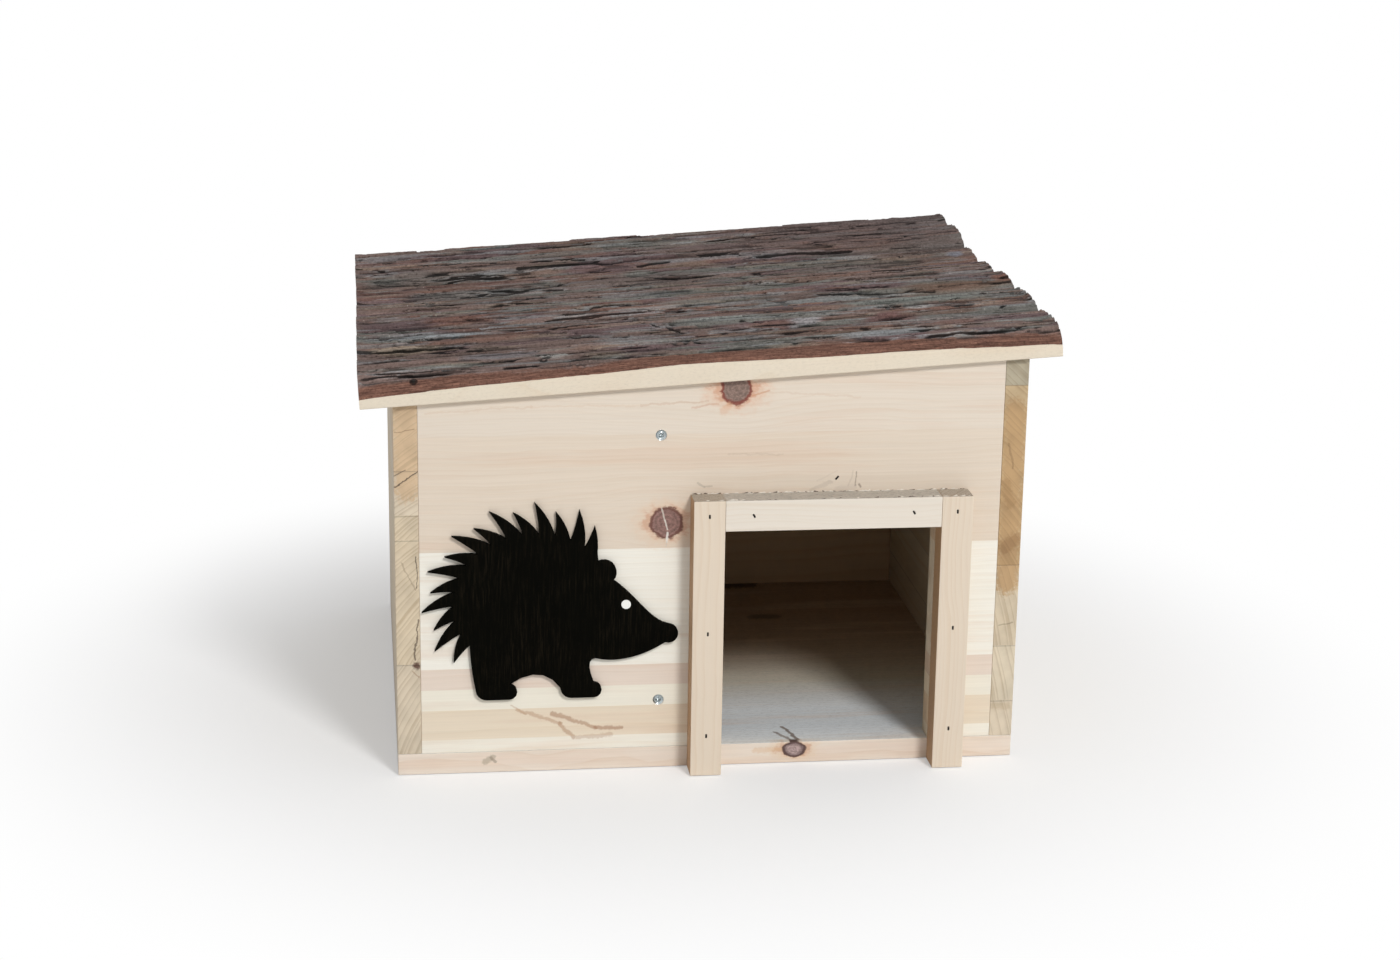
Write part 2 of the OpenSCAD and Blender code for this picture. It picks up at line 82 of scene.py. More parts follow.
# The sky is brighter towards the upper right
SKY_TOWARDS = (0.55, -0.2, 0.81)
SKY_DIM, SKY_BRIGHT = 0.03, 0.55
# The stage floor keeps the shadow near the house, and is white beyond these distances from its middle
FLOOR_SHADOW_M, FLOOR_WHITE_M = 0.22, 0.55
FLOOR_LEAST_WHITE = 0.3
FLOOR_BELOW_M = 0.0005

# Lid frame
HINGE_AXIS = frame["joints"][0]["axis"]
PITCH = math.atan2(-HINGE_AXIS[2], -HINGE_AXIS[0])
SIDE_LOW, SIDE_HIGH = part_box("left_side_panel")
EAVE_Z_M = SIDE_HIGH.z - (SIDE_HIGH.x - SIDE_LOW.x) * math.tan(PITCH)
LID = Matrix.Translation((SIDE_LOW.x, 0, EAVE_Z_M)) @ Matrix.Rotation(-PITCH, 4, "Y")
LID_UP = LID.to_3x3() @ Vector((0, 0, 1))
LID_GAP = 0.3

# Boards: CAD node, material, axes along the grain, across and through the board, and seed
BOARDS = (("floor_board", "floor", (0, 1, 2), 3), ("left_side_panel", "side", (1, 2, 0), 11),
          ("right_side_panel", "right_side", (1, 2, 0), 23), ("front_panel", "front", (0, 2, 1), 31),
          ("back_panel", "back", (0, 2, 1), 47), ("partition", "partition", (1, 2, 0), 53))
ENTRANCE = (("left_entrance_post", "post", (2, 0, 1), 61), ("right_entrance_post", "post", (2, 0, 1), 73),
            ("entrance_lintel", "lintel", (0, 2, 1), 83))
ROOF_BATTENS = (("left_roof_batten", "batten", (1, 0, 2), 91),
                ("right_roof_batten", "batten", (1, 0, 2), 97))
BEVEL = 0.6
SLAB_BEVEL = 0.8
BEVEL_EDGE_MIN = 5.0
SLABS = 7

# Strips of the edge-glued boards, from (mm across the board, colour)
# Wood of the inner faces, darkened by painted shade as inside the closed house
INNER_WITH_PAINTED_SHADE = (186, 158, 124)
FRONT_STRIPS = ((0, (236, 231, 218)), (8, (226, 212, 191)), (28, (234, 228, 213)), (42, (225, 210, 196)),
                (56, (238, 234, 223)), (133, (221, 207, 190)), (208, (222, 210, 195)))
BACK_STRIPS = ((0, INNER_WITH_PAINTED_SHADE), (88, (202, 176, 146)), (160, INNER_WITH_PAINTED_SHADE))
LEFT_STRIPS = ((0, (212, 198, 176)), (60, (214, 198, 172)), (142, (214, 198, 172)), (158, (214, 200, 178)),
               (187, (210, 190, 162)))
RIGHT_STRIPS = ((0, (214, 200, 178)), (24, (216, 203, 180)), (62, (210, 195, 170)), (117, (198, 174, 138)),
                (236, (178, 168, 146)))
# The floor's strips darken towards the back: painted shade inside the house
FLOOR_STRIPS_WITH_PAINTED_SHADE = ((0, (227, 214, 200)), (12, (220, 212, 204)), (30, (212, 206, 200)), (63, (224, 216, 208)),
                (90, (212, 200, 187)), (116, (198, 182, 160)), (160, (186, 162, 138)), (212, (176, 146, 120)),
                (270, (168, 136, 110)))
LATE_WOOD = (0.87, 0.77, 0.66)  # colour of the late wood as a share of the strip's
RING_WAVE = 2.5
RING_SPREAD = 90.0  # how far apart the piths of a board's strips may lie
FIBRE = 0.05
SIDE_SLOPE = (0.6, 0.9)  # a side faces an axis from the first share of its slope, and fully from the second

# Knots by plane: place, radius, how much narrower across, width of the rim, and the colours inside,
# of the rim and of the halo
FRONT_KNOTS = {"face": ((-29.5, 164.3, 10, 1.0, 0.9, (140, 108, 100), (104, 66, 58), (222, 190, 162)),
                        (13.4, 250.5, 9.5, 1.0, 0.9, (134, 112, 102), (124, 60, 50), (218, 172, 140)))}
FLOOR_KNOTS = {"edge": ((55.5, 9.0, 7.4, 1.4, 1.8, (172, 150, 146), (74, 50, 48), (222, 192, 158)),)}

# Marks by plane: from, to, half width, colour, strength
FRONT_MARKS = {"face": (
    (-32.6, 174, -30.6, 166, 0.5, (206, 196, 184), 0.8), (-30.6, 166, -28.8, 160, 0.6, (214, 206, 196), 0.9),
    (-28.8, 158, -29.0, 152, 0.7, (226, 220, 212), 0.9), (-29.2, 152, -29.6, 149, 0.4, (206, 196, 184), 0.7),
    (-124, 42, -97, 32, 1.3, (180, 142, 112), 0.5), (-97, 32, -88, 22, 1.5, (172, 132, 102), 0.55),
    (-102, 39, -74, 28.5, 1.4, (166, 126, 98), 0.6), (-74, 28.5, -57, 27.5, 1.3, (160, 118, 90), 0.6),
    (-86, 22, -64, 23.5, 1.3, (176, 138, 108), 0.4), (-128, 45, -118, 39, 0.6, (186, 150, 120), 0.4),
    (91, 195.5, 90.6, 186, 0.5, (150, 132, 118), 0.65), (62, 184, 75, 189, 1.2, (178, 164, 150), 0.32),
    (66, 190, 78, 196, 0.5, (196, 180, 164), 0.25), (93, 187, 94, 185.5, 0.7, (130, 110, 96), 0.6),
    (86, 186, 89, 196, 0.5, (190, 174, 158), 0.35), (79, 184, 90, 186, 2.0, (196, 182, 168), 0.3),
    (-10, 190, -6, 187.5, 0.8, (192, 180, 164), 0.7), (-6, 187.5, -1, 188, 0.6, (188, 174, 156), 0.6),
    (2, 241, -14, 239, 0.7, (196, 150, 122), 0.4), (-180, 238, -115, 241, 0.7, (204, 178, 152), 0.3),
    (-115, 241, -47, 241, 0.6, (208, 182, 156), 0.28), (-47, 241, -5, 243, 0.7, (196, 162, 134), 0.35),
    (28, 249, 92, 244, 0.7, (206, 180, 156), 0.3), (9, 208.6, 44, 207.3, 0.6, (200, 180, 160), 0.45),
    (9, 240, 5, 236, 2.5, (214, 168, 134), 0.4), (24, 246, 34, 249, 0.6, (196, 140, 106), 0.5))}
FLOOR_MARKS = {
    "face": ((58.6, -170.5, 52.6, -148, 1.5, (112, 92, 78), 0.8),
             (52.8, -169.5, 46, -156, 1.4, (118, 98, 84), 0.7),
             (68, 80, 82, 80, 6.0, (96, 76, 62), 0.6), (56, 156, 74, 158, 8.0, (70, 52, 44), 0.7)),
    "edge": ((30, 9, 46, 9, 1.8, (214, 178, 138), 0.4), (-145, 7, -140, 10, 2.0, (166, 154, 134), 0.6),
             (-141, 10, -138, 7, 1.0, (140, 128, 112), 0.6))}
LEFT_MARKS = {"end": (
    (190, -192, 250, -192, 9.0, (206, 178, 144), 0.9), (73.6, -187.3, 73.6, -187.3, 2.6, (96, 66, 54), 0.95),
    (70, -190, 66, -186, 0.5, (170, 140, 116), 0.6), (78, -188.5, 104, -185.6, 0.5, (84, 68, 56), 0.75),
    (191, -200, 201, -185, 0.45, (70, 56, 48), 0.8), (198, -200, 202, -193, 0.35, (70, 56, 48), 0.6),
    (226, -199, 228, -187, 0.35, (150, 120, 92), 0.6), (146, -187, 126, -186, 0.4, (70, 56, 48), 0.7),
    (142, -196, 124, -188, 0.5, (158, 138, 116), 0.5))}
RIGHT_MARKS = {"end": (
    (120, 192, 233, 192, 9.0, (184, 150, 108), 0.9), (143, 190, 148, 196, 5.0, (150, 112, 74), 0.5),
    (172, 192, 186, 188, 3.5, (156, 122, 82), 0.45), (212, 189, 196, 193, 0.7, (140, 112, 80), 0.5),
    (90, 188, 92, 197, 0.5, (150, 136, 112), 0.6), (35, 187, 34, 196, 2.5, (190, 170, 140), 0.5))}

BARK_STEP_ALONG, BARK_STEP_ACROSS = 1.0, 0.62
FINE_DEPTH = 1.5
FURROW_DEPTH = 1.8
SLAB_SHIFT = 900  # how far apart the slabs' patterns are taken
SEAM_SHADE, SEAM_REACH = 0.55, 9  # the bark is darker beside the seams between slabs
END_FADE = 8  # the fine relief fades out towards the slabs' ends
# Radius of the painted shade of a pit round each bark tack, a pit the mesh doesn't have
TACK_PIT_SHADE_RADIUS = 2.0
# Width of the front slab's inner bark and height of its bare wood, from (share of its length, mm)
INNER_BARK = ((0, 13), (0.2, 12), (0.33, 10.5), (0.45, 14), (0.6, 17), (0.8, 14), (1, 10))
FRONT_BAND = ((0, 4.4), (0.16, 7.6), (0.45, 11.2), (0.75, 9.2), (1, 6.4))
FRONT_BAND_REACH = 9
# Knots in the bark, as X and Y in the lid's frame, and their radii
BARK_KNOTS = ((117, -176, 5), (182, -151, 8), (97, -160, 4), (330, -98, 5), (165, 58, 6), (70, 90, 6),
              (250, 20, 6))
# Long cracks, each a line of points in the lid's frame
BARK_CRACKS = (((-20, -83), (21, -80), (85, -85)), ((106, -53), (141, -51), (167, -50)),
               ((116, -110), (151, -115)), ((270, 100), (296, 100), (336, 99)), ((290, -44), (365, -51)),
               ((97, 106), (126, 107), (153, 107)), ((157, 58), (168, 58)), ((42, 69), (80, 61), (122, 56)),
               ((-20, 126), (-1, 117)), ((183, 99), (203, 101)), ((-20, 56), (6, 52)),
               ((222, -76), (248, -85)),
               ((163, -92), (176, -105), (188, -114)), ((188, -147), (196, -154), (220, -158)),
               ((229, -103), (239, -109)), ((51, -117), (70, -119)), ((300, -146), (330, -150)),
               ((340, 30), (400, 26)), ((30, 20), (90, 14)), ((200, 150), (270, 153)))
BARK_BROWN = (116, 98, 92)
BARK_BLUE = (136, 138, 139)
# Broad colours over the brown: strength, length and width, from and to which noise level, seed, colour
BARK_AREAS = ((1, 110, 13, 0.47, 0.6, 11, (112, 110, 105)), (1, 80, 12, 0.55, 0.66, 12, (104, 86, 86)),
              (0.55, 70, 12, 0.54, 0.66, 13, (120, 88, 76)), (0.5, 45, 7, 0.6, 0.7, 14, (138, 124, 110)),
              (0.6, 80, 4, 0.6, 0.7, 15, BARK_BLUE))
# Patches: X, Y, half length and width, colour, strength
BARK_PATCHES = ((12, -111, 26, 7, (152, 136, 118), 0.75), (48, -44, 24, 9, (116, 84, 74), 0.8),
                (69, -21, 14, 8, (112, 84, 74), 0.75), (27, -87, 38, 4, (146, 151, 155), 0.8),
                (85, -70, 44, 5, (138, 143, 146), 0.6), (150, -62, 40, 5, (136, 138, 138), 0.6),
                (104, -157, 13, 6, (156, 156, 152), 0.8), (66, -147, 26, 8, (120, 119, 124), 0.7),
                (388, -46, 56, 9, (106, 84, 70), 0.65), (419, -36, 12, 9, (124, 86, 74), 0.75),
                (352, -80, 66, 9, (126, 129, 124), 0.85), (215, -95, 32, 7, (140, 142, 138), 0.8),
                (270, -110, 13, 5, (168, 168, 170), 0.8), (349, -101, 12, 4, (162, 160, 158), 0.8),
                (310, -160, 32, 7, (136, 140, 142), 0.8), (322, -116, 22, 7, (106, 76, 74), 0.75),
                (408, 71, 7, 8, (136, 142, 156), 0.7), (180, 60, 60, 16, (96, 84, 82), 0.6),
                (250, 120, 90, 18, (110, 94, 90), 0.6), (210, -147, 40, 6, (118, 122, 124), 0.7),
                (120, 130, 70, 12, (112, 112, 108), 0.6), (60, 60, 50, 9, (112, 114, 112), 0.6),
                (24, 100, 40, 12, (108, 106, 102), 0.5), (330, 60, 60, 12, (100, 92, 86), 0.6),
                (360, -130, 52, 13, (126, 120, 118), 0.75), (350, 150, 110, 60, (98, 84, 82), 0.75),
                (390, 92, 60, 22, (104, 90, 86), 0.65))

# Small parts
HEAD_DISH, HEAD_DOME = 0.9, 0.6
THREAD_PITCH, THREAD_DEPTH = 1.4, 0.72
SPLINTER_PITCH, SPLINTER_SIZE = 1.8, 2.2
PALE_SPLINTERS = 0.6
STRAY_BRAD_AT = (78.7, 191.7)
STRAY_BRAD_TURN = 50
STRAY_BRAD_HALF = (1.5, 0.6)
STRAY_BRAD_DEPTH = (-0.08, 0.6)


def hashed(ix, iy, seed):
    """Number from 0 to 1 that looks random, for each pair of whole numbers."""
    h = (ix * 374761393 + iy * 668265263 + seed * 974634777) & 0xFFFFFFFF
    h = ((h ^ (h >> 13)) * 1274126177) & 0xFFFFFFFF
    h = ((h ^ (h >> 15)) * 2246822519) & 0xFFFFFFFF
    return ((h ^ (h >> 16)) & 0xFFFFF) / 0xFFFFF


def smooth(t):
    t = np.clip(t, 0, 1)
    return t * t * (3 - 2 * t)


def noise(x, y, seed):
    """Smooth noise from 0 to 1 whose spots are about one unit wide."""
    ix = np.floor(x).astype(np.int64)
    iy = np.floor(y).astype(np.int64)
    fx = smooth(x - ix)
    fy = smooth(y - iy)
    low = hashed(ix, iy, seed) * (1 - fx) + hashed(ix + 1, iy, seed) * fx
    high = hashed(ix, iy + 1, seed) * (1 - fx) + hashed(ix + 1, iy + 1, seed) * fx
    return low * (1 - fy) + high * fy


def sway(x, y, long, wide, seed, layers=4):
    """Layered noise from -0.5 to 0.5 with spots of the given length and width."""
    x = x / long
    y = y / wide
    total = 0
    weights = 0
    for layer in range(layers):
        weight = 0.5 ** (layer + 1)
        total = total + weight * noise(x * 2 ** layer, y * 2 ** layer, seed + 17 * layer)
        weights += weight
    return total / weights - 0.5


def linear_array(shown):
    """Colours as a shader wants them, from 0 to 255 as a picture shows them."""
    shown = shown / 255
    return np.where(shown <= 0.04045, shown / 12.92, ((shown + 0.055) / 1.055) ** 2.4)


def linear(*shown):
    return tuple(linear_array(np.array(shown, float)).tolist())


class Value:
    """A socket that takes part in sums, so that a shader's maths reads as formulas."""

    def __init__(self, nodes, socket):
        self.nodes = nodes
        self.socket = socket

    def __add__(self, other):
        return self.nodes.math("ADD", self, other)

    def __sub__(self, other):
        return self.nodes.math("SUBTRACT", self, other)

    def __mul__(self, other):
        return self.nodes.math("MULTIPLY", self, other)


class Nodes:
    """Short ways to fill a node tree. A Value or a plain number goes wherever a value is asked for."""

    def __init__(self, owner):
        owner.use_nodes = True
        self.tree = owner.node_tree
        self.tree.nodes.clear()

    def put(self, socket, value):
        if isinstance(value, Value):
            self.tree.links.new(value.socket, socket)
        elif isinstance(value, tuple) and socket.type == "RGBA":
            socket.default_value = (*value, 1)
        else:
            socket.default_value = value

    def node(self, kind, inputs=()):
        """New node, whose inputs are given in their order or by name or number."""
        node = self.tree.nodes.new("ShaderNode" + kind)
        for key, value in inputs.items() if isinstance(inputs, dict) else enumerate(inputs):
            self.put(node.inputs[key], value)
        return node

    def out(self, kind, inputs=(), output=0):
        return Value(self, self.node(kind, inputs).outputs[output])

    def finish(self, shader, output="OutputMaterial"):
        self.node(output, {"Surface": shader})

    def principled(self, **values):
        return self.out("BsdfPrincipled", {name.replace("_", " "): value for name, value in values.items()})

    def math(self, operation, *values):
        node = self.node("Math", values)
        node.operation = operation
        return Value(self, node.outputs[0])

    def attribute(self, name, output="Vector"):
        node = self.node("Attribute")
        node.attribute_name = name
        return Value(self, node.outputs[output])

    def split(self, vector):
        return [Value(self, socket) for socket in self.node("SeparateXYZ", (vector,)).outputs]

    def coordinates(self, kind):
        """X, Y and Z of the texture coordinates of one kind."""
        return self.split(self.out("TexCoord", output=kind))

    def noise(self, x, y, z, detail=3.0, roughness=0.5):
        place = self.out("CombineXYZ", (x, y, z))
        return self.out("TexNoise", {"Vector": place, "Scale": 1.0, "Detail": detail, "Roughness": roughness})

    def span(self, value, low, high, to_low=0.0, to_high=1.0, kind="SMOOTHSTEP"):
        """Maps low..high to to_low..to_high, and holds the ends."""
        node = self.node("MapRange", (value, low, high, to_low, to_high))
        node.interpolation_type = kind
        return Value(self, node.outputs[0])

    def mix(self, factor, a, b, blend="MIX"):
        node = self.node("Mix")
        node.data_type = "RGBA"
        node.blend_type = blend
        for number, value in ((0, factor), (6, a), (7, b)):
            self.put(node.inputs[number], value)
        return Value(self, node.outputs[2])

    def steps(self, value, stops, kind="CONSTANT"):
        """Colour or grey level by value: stops are (place from 0 to 1, colour or level)."""
        node = self.node("ValToRGB", (value,))
        ramp = node.color_ramp
        ramp.interpolation = kind
        for i, (place, level) in enumerate(stops):
            element = ramp.elements[i] if i < 2 else ramp.elements.new(place)
            element.position = place
            element.color = (*(level if isinstance(level, tuple) else (level,) * 3), 1)
        return Value(self, node.outputs[0])

    def scaled(self, colour, factor):
        node = self.node("VectorMath")
        node.operation = "SCALE"
        self.put(node.inputs[0], colour)
        self.put(node.inputs["Scale"], factor)
        return Value(self, node.outputs[0])

    def bump(self, height, distance_mm, strength):
        return self.out("Bump", {"Strength": strength, "Distance": distance_mm * MM, "Height": height})

    def studio_rays(self):
        """1 for the rays that see the white studio: camera, glossy and transmission rays."""
        path = self.node("LightPath")
        camera, glossy, transmission = (Value(self, path.outputs[f"Is {kind} Ray"])
                                        for kind in ("Camera", "Glossy", "Transmission"))
        return self.math("MAXIMUM", self.math("MAXIMUM", camera, glossy), transmission)


def new_material(name):
    material = bpy.data.materials.new(name)
    return material, Nodes(material)


def ring_pattern(n, a, c, d, number, shift, pith, pitch, swirl):
    """Late wood from 0 to 1 in year rings that run round a pith line along the grain."""
    bend = n.noise(a * 0.008, c * 0.01 + shift, d * 0.01, 2.0)
    fine_bend = n.noise(a * 0.03, c * 0.06 + shift, d * 0.06, 2.0)
    cw = c + ((bend - 0.5) * (RING_WAVE * 6) + (fine_bend - 0.5) * RING_WAVE)
    rc = cw + swirl - ((number - 0.5) * RING_SPREAD + pith[0])
    rd = d - (number * -30.0 + pith[1])
    away = n.math("SQRT", rc * rc + rd * rd)
    uneven = n.noise(away * 0.25, shift, 0.0, 1.0)
    rings = n.math("FRACT", away * (1 / pitch) + uneven * 2.6)
    return n.math("POWER", rings, 3.0) + n.span(rings, 0.0, 0.12, 0.35, 0.0)


def knot_colour(n, colour, u, v, seed, knot):
    """Adds a knot with a dark rim, rings and a reddish halo that is longer along the grain."""
    u0, v0, radius, squeeze, rim_width, inside, rim, halo = knot
    du = u - u0
    dv = (v - v0) * squeeze
    wobble = n.noise(u * 0.2, v * 0.3, seed + u0, 4.0, 0.6) - 0.5
    r = n.math("SQRT", du * du + dv * dv) + wobble * (radius * 0.55)
    long_r = n.math("SQRT", du * du * 0.5 + dv * dv) + wobble * (radius * 1.6)
    colour = n.mix(n.span(long_r, radius * 0.8, radius * 2.0, 0.55, 0.0), colour, linear(*halo))
    colour = n.mix(n.span(long_r, radius * 0.85, radius * 1.3, 0.45, 0.0), colour, linear(190, 130, 98))
    mottle = n.noise(u * 0.35, v * 0.5, seed, 6.0, 0.75)
    year = n.math("FRACT", (r + mottle * 5.0) * (1 / max(1.5, radius / 3.5)))
    grey = n.span(mottle, 0.35, 0.65) * 0.45 + year * 0.35
    face = n.scaled(linear(*inside), grey * 1.1 + 0.5)
    colour = n.mix(n.span(r, radius * 0.9, radius * 1.02, 1.0, 0.0), colour, face)
    edge = n.span(r, radius - 2.2 * rim_width, radius - 0.5) * n.span(r, radius, radius * 1.14, 1.0, 0.0)
    return n.mix(edge * 0.9, colour, linear(*rim))


def marked(n, colour, u, v, shown, mark):
    """Adds a thin, wavy line or, where both ends are alike, a spot."""
    u0, v0, u1, v1, half, tone, strength = mark
    du, dv = u1 - u0, v1 - v0
    bend = min(5.0, 0.25 * math.hypot(du, dv))
    u, v = (w + (n.noise(u * 0.12, v * 0.12, w0, 3.0, 0.6) - 0.5) * bend for w, w0 in ((u, u0), (v, v0)))
    squared = max(du * du + dv * dv, 1e-6)
    along = n.span((u - u0) * (du / squared) + (v - v0) * (dv / squared), 0.0, 1.0, kind="LINEAR")
    ou = u - u0 - along * du
    ov = v - v0 - along * dv
    wobble = n.noise(u * 0.5, v * 0.5, u0, 3.0, 0.6) - 0.5
    off = n.math("SQRT", ou * ou + ov * ov) + wobble * (half * 1.6)
    return n.mix(n.span(off, half * 0.5, half * 1.3, strength, 0.0) * shown, colour, linear(*tone))


def wood(name, strips, across, knots=None, marks=None, pith=(0, -45), pitch=3.2, contrast=0.5, end_axis=0,
         end_tone=0.86, shade=0.06, faces=(), lines=0.0, pink=0.0, vary=0.0, steps="CONSTANT", plain=None):
    """Softwood. Its rings run round a pith line, so faces, edges and end grain fit together.

    strips are (start in mm across the board, colour), and across is the board's width. Knots and marks
    lie on the face, the edge or the end. faces are (axis, -1 or 1, share of the colour, roughness) for
    sides that differ. lines is how dark the strips' joints are, pink how strong reddish streaks are and
    vary how much the boards differ. plain is the colour of upright sides where the strips don't show.
    """
    material, n = new_material(name)
    a, c, d = n.split(n.attribute("board"))
    seed, start_c, _ = n.split(n.attribute("offset"))
    span_mm = c - start_c
    span = n.math("DIVIDE", span_mm, across)
    shares = [(start / across, linear(*colour)) for start, colour in strips]
    if len(shares) == 1:
        shares.append((1.0, shares[0][1]))
    colour = n.steps(span, shares, steps)
    number = n.steps(span, [(place, (i * 0.37 + 0.11) % 1) for i, (place, _) in enumerate(shares)])
    shift = number * 97.0 + seed
    slopes = n.coordinates("Normal")
    facing = [n.span(n.math("ABSOLUTE", slope), *SIDE_SLOPE) for slope in slopes]
    on_end = facing[end_axis]
    planes = {"face": (a, c, 1.0), "edge": (a, d, n.span(span_mm, 3.0, 7.0, 1.0, 0.0)), "end": (c, d, on_end)}
    swirl = 0.0
    for u0, v0, radius, *_ in (knots or {}).get("face", ()):
        du = (a - u0) * 0.55
        dv = c - v0
        pull = n.math("EXPONENT", (du * du + dv * dv) * (-1 / (2.2 * radius) ** 2))
        swirl = dv * pull * -0.75 + swirl
    ring = ring_pattern(n, a, c, d, number, shift, pith, pitch, swirl)
    streak = n.noise(a * 0.012, c * 0.9, d * 0.9, 3.0, 0.6)
    hair = n.noise(a * 0.05, c * 5.0, d * 5.0, 2.0, 0.6)
    cloud = n.noise(a * 0.006, c * 0.07, d * 0.05 + shift, 4.0, 0.6)
    if plain:
        colour = n.mix(facing[2], linear(*plain), colour)
    if pink:
        colour = n.mix(n.span(cloud, 0.5, 0.7, 0.0, pink), colour, linear(216, 184, 160))
    if vary:
        of_board = n.noise(seed * 0.37, 0.0, 0.0, 0.0)
        colour = n.mix(n.span(of_board, 0.3, 0.7, 0.0, vary), colour, linear(198, 168, 132))
    late = n.mix(1.0, colour, LATE_WOOD, "MULTIPLY")
    colour = n.mix(ring * (n.span(cloud, 0.3, 0.7, 0.5, 1.3) * contrast), colour, late)
    light = (streak * shade + (1.0 - shade / 2)) * (hair * FIBRE + (1.0 - FIBRE / 2))
    blotch = n.noise(c * 0.05, d * 0.06, shift, 3.0, 0.5)
    end_light = n.span(blotch, 0.3, 0.68, 0.87 * end_tone, 1.04 * end_tone) * (ring * -0.16 + 1.0)
    light = light * n.mix(on_end, (1.0, 1.0, 1.0), end_light)
    for start, _ in strips[1:] if lines else ():
        joint = n.math("ABSOLUTE", span_mm + (hair - 0.5) * 0.8 - float(start))
        light = light * n.span(joint, 0.1, 0.55, 1.0 - lines, 1.0)
    coarse = n.noise(a * 0.35, c * 0.9, d * 0.9, 6.0, 0.75)
    for axis, way, share, rough in faces:
        side = n.span(slopes[axis] * way, *SIDE_SLOPE)
        colour = n.mix(side, colour, n.mix(1.0, colour, share, "MULTIPLY"))
        if rough:
            light = light * n.mix(side, (1.0, 1.0, 1.0), n.span(coarse, 0.3, 0.55, 1 - rough, 1.0))
            colour = n.mix(side * n.span(coarse, 0.6, 0.7, 0.0, rough), colour, linear(226, 218, 206))
    for plane, group in (knots or {}).items():
        u, v, shown = planes[plane]
        for knot in group:
            colour = n.mix(shown, colour, knot_colour(n, colour, u, v, seed, knot))
    for plane, group in (marks or {}).items():
        for mark in group:
            colour = marked(n, colour, *planes[plane], mark)
    n.finish(n.principled(Base_Color=n.scaled(colour, light), Roughness=0.62, Specular_IOR_Level=0.3,
                          Normal=n.bump(ring * 0.5 + hair + coarse, 0.12, 0.35)))
    return material


def simple(name, shown, roughness, metallic=0.0, scale=0.6, change=0.12, specular=0.5):
    """Even stuff with slight cloudiness and a fine bump. scale is per mm."""
    material, n = new_material(name)
    x, y, z = n.coordinates("Object")
    cloud = n.noise(*(value * (scale / MM) for value in (x, y, z)), 4.0, 0.6)
    n.finish(n.principled(Base_Color=n.scaled(linear(*shown), cloud * change + (1 - change / 2)),
                          Roughness=cloud * 0.1 + (roughness - 0.05), Metallic=metallic,
                          Specular_IOR_Level=specular, Normal=n.bump(cloud, 0.05, 0.4)))
    return material


def stained(name):
    """Black stain on plywood, whose upright grain shows faintly."""
    material, n = new_material(name)
    x, y, z = n.coordinates("Object")
    grain = n.noise(x * 900.0, y, z * 60.0, 4.0, 0.7)
    cloud = n.noise(x * 30.0, y, z * 30.0, 3.0, 0.6)
    share = n.span(grain, 0.45, 0.7) * n.span(cloud, 0.35, 0.65, 0.2, 1.0)
    n.finish(n.principled(Base_Color=n.mix(share, linear(4, 4, 2), linear(24, 20, 13)), Roughness=0.7,
                          Specular_IOR_Level=0.03, Normal=n.bump(grain, 0.15, 0.4)))
    return material


def bark_material():
    """Bark: the mesh's broad colours with fine streaks, cracks and specks, a red-brown inner bark, and
    painted shade in hollows.
    """
    material, n = new_material("bark")
    x, s, slab_shift = n.split(n.attribute("bark"))
    relief, furrow, crack, inner = (n.attribute(name, "Fac")
                                    for name in ("relief", "furrow", "crack", "inner"))
    strip = n.noise(x * 0.022, s * 0.38, slab_shift, 6.0, 0.7)
    thread = n.noise(x * 0.09, s * 1.1, slab_shift, 4.0, 0.65)
    grain = n.noise(x * 0.5, s * 0.6, slab_shift, 4.0, 0.7)
    speck = n.noise(x * 0.7, s * 0.6, slab_shift + 5.0, 3.0, 0.6)
    colour = n.mix(n.span(thread, 0.55, 0.75, 0.0, 0.25), n.attribute("tint"), linear(126, 128, 128))
    colour = n.mix(n.span(grain, 0.64, 0.76, 0.0, 0.55), colour, linear(196, 190, 182))
    reddish = n.mix(n.span(thread, 0.3, 0.7), linear(98, 68, 58), linear(124, 90, 76))
    reddish = n.mix(n.span(strip, 0.55, 0.75, 0.0, 0.4), reddish, linear(142, 102, 80))
    colour = n.mix(inner, colour, reddish)
    # Painted shade: darker where the relief lies deep and in the furrows; the cracks are dark partly from the
    # bark's own colour and partly from painted shade
    light = n.span(relief, 0.2, 0.7, 0.55, 1.05)
    for value, *levels in ((strip, 0.3, 0.7, 0.8, 1.18), (thread, 0.3, 0.65, 0.8, 1.1),
                           (grain, 0.3, 0.65, 0.74, 1.22), (speck, 0.57, 0.7, 1.0, 0.5),
                           (crack, 0.1, 0.8, 1.0, 0.16), (furrow, 0.5, 1.0, 1.0, 0.75)):
        light = light * n.span(value, *levels)
    n.finish(n.principled(Base_Color=n.scaled(colour, light), Roughness=0.85, Specular_IOR_Level=0.2,
                          Normal=n.bump(grain * 0.8 + thread * 0.5, 0.5, 0.7)))
    return material


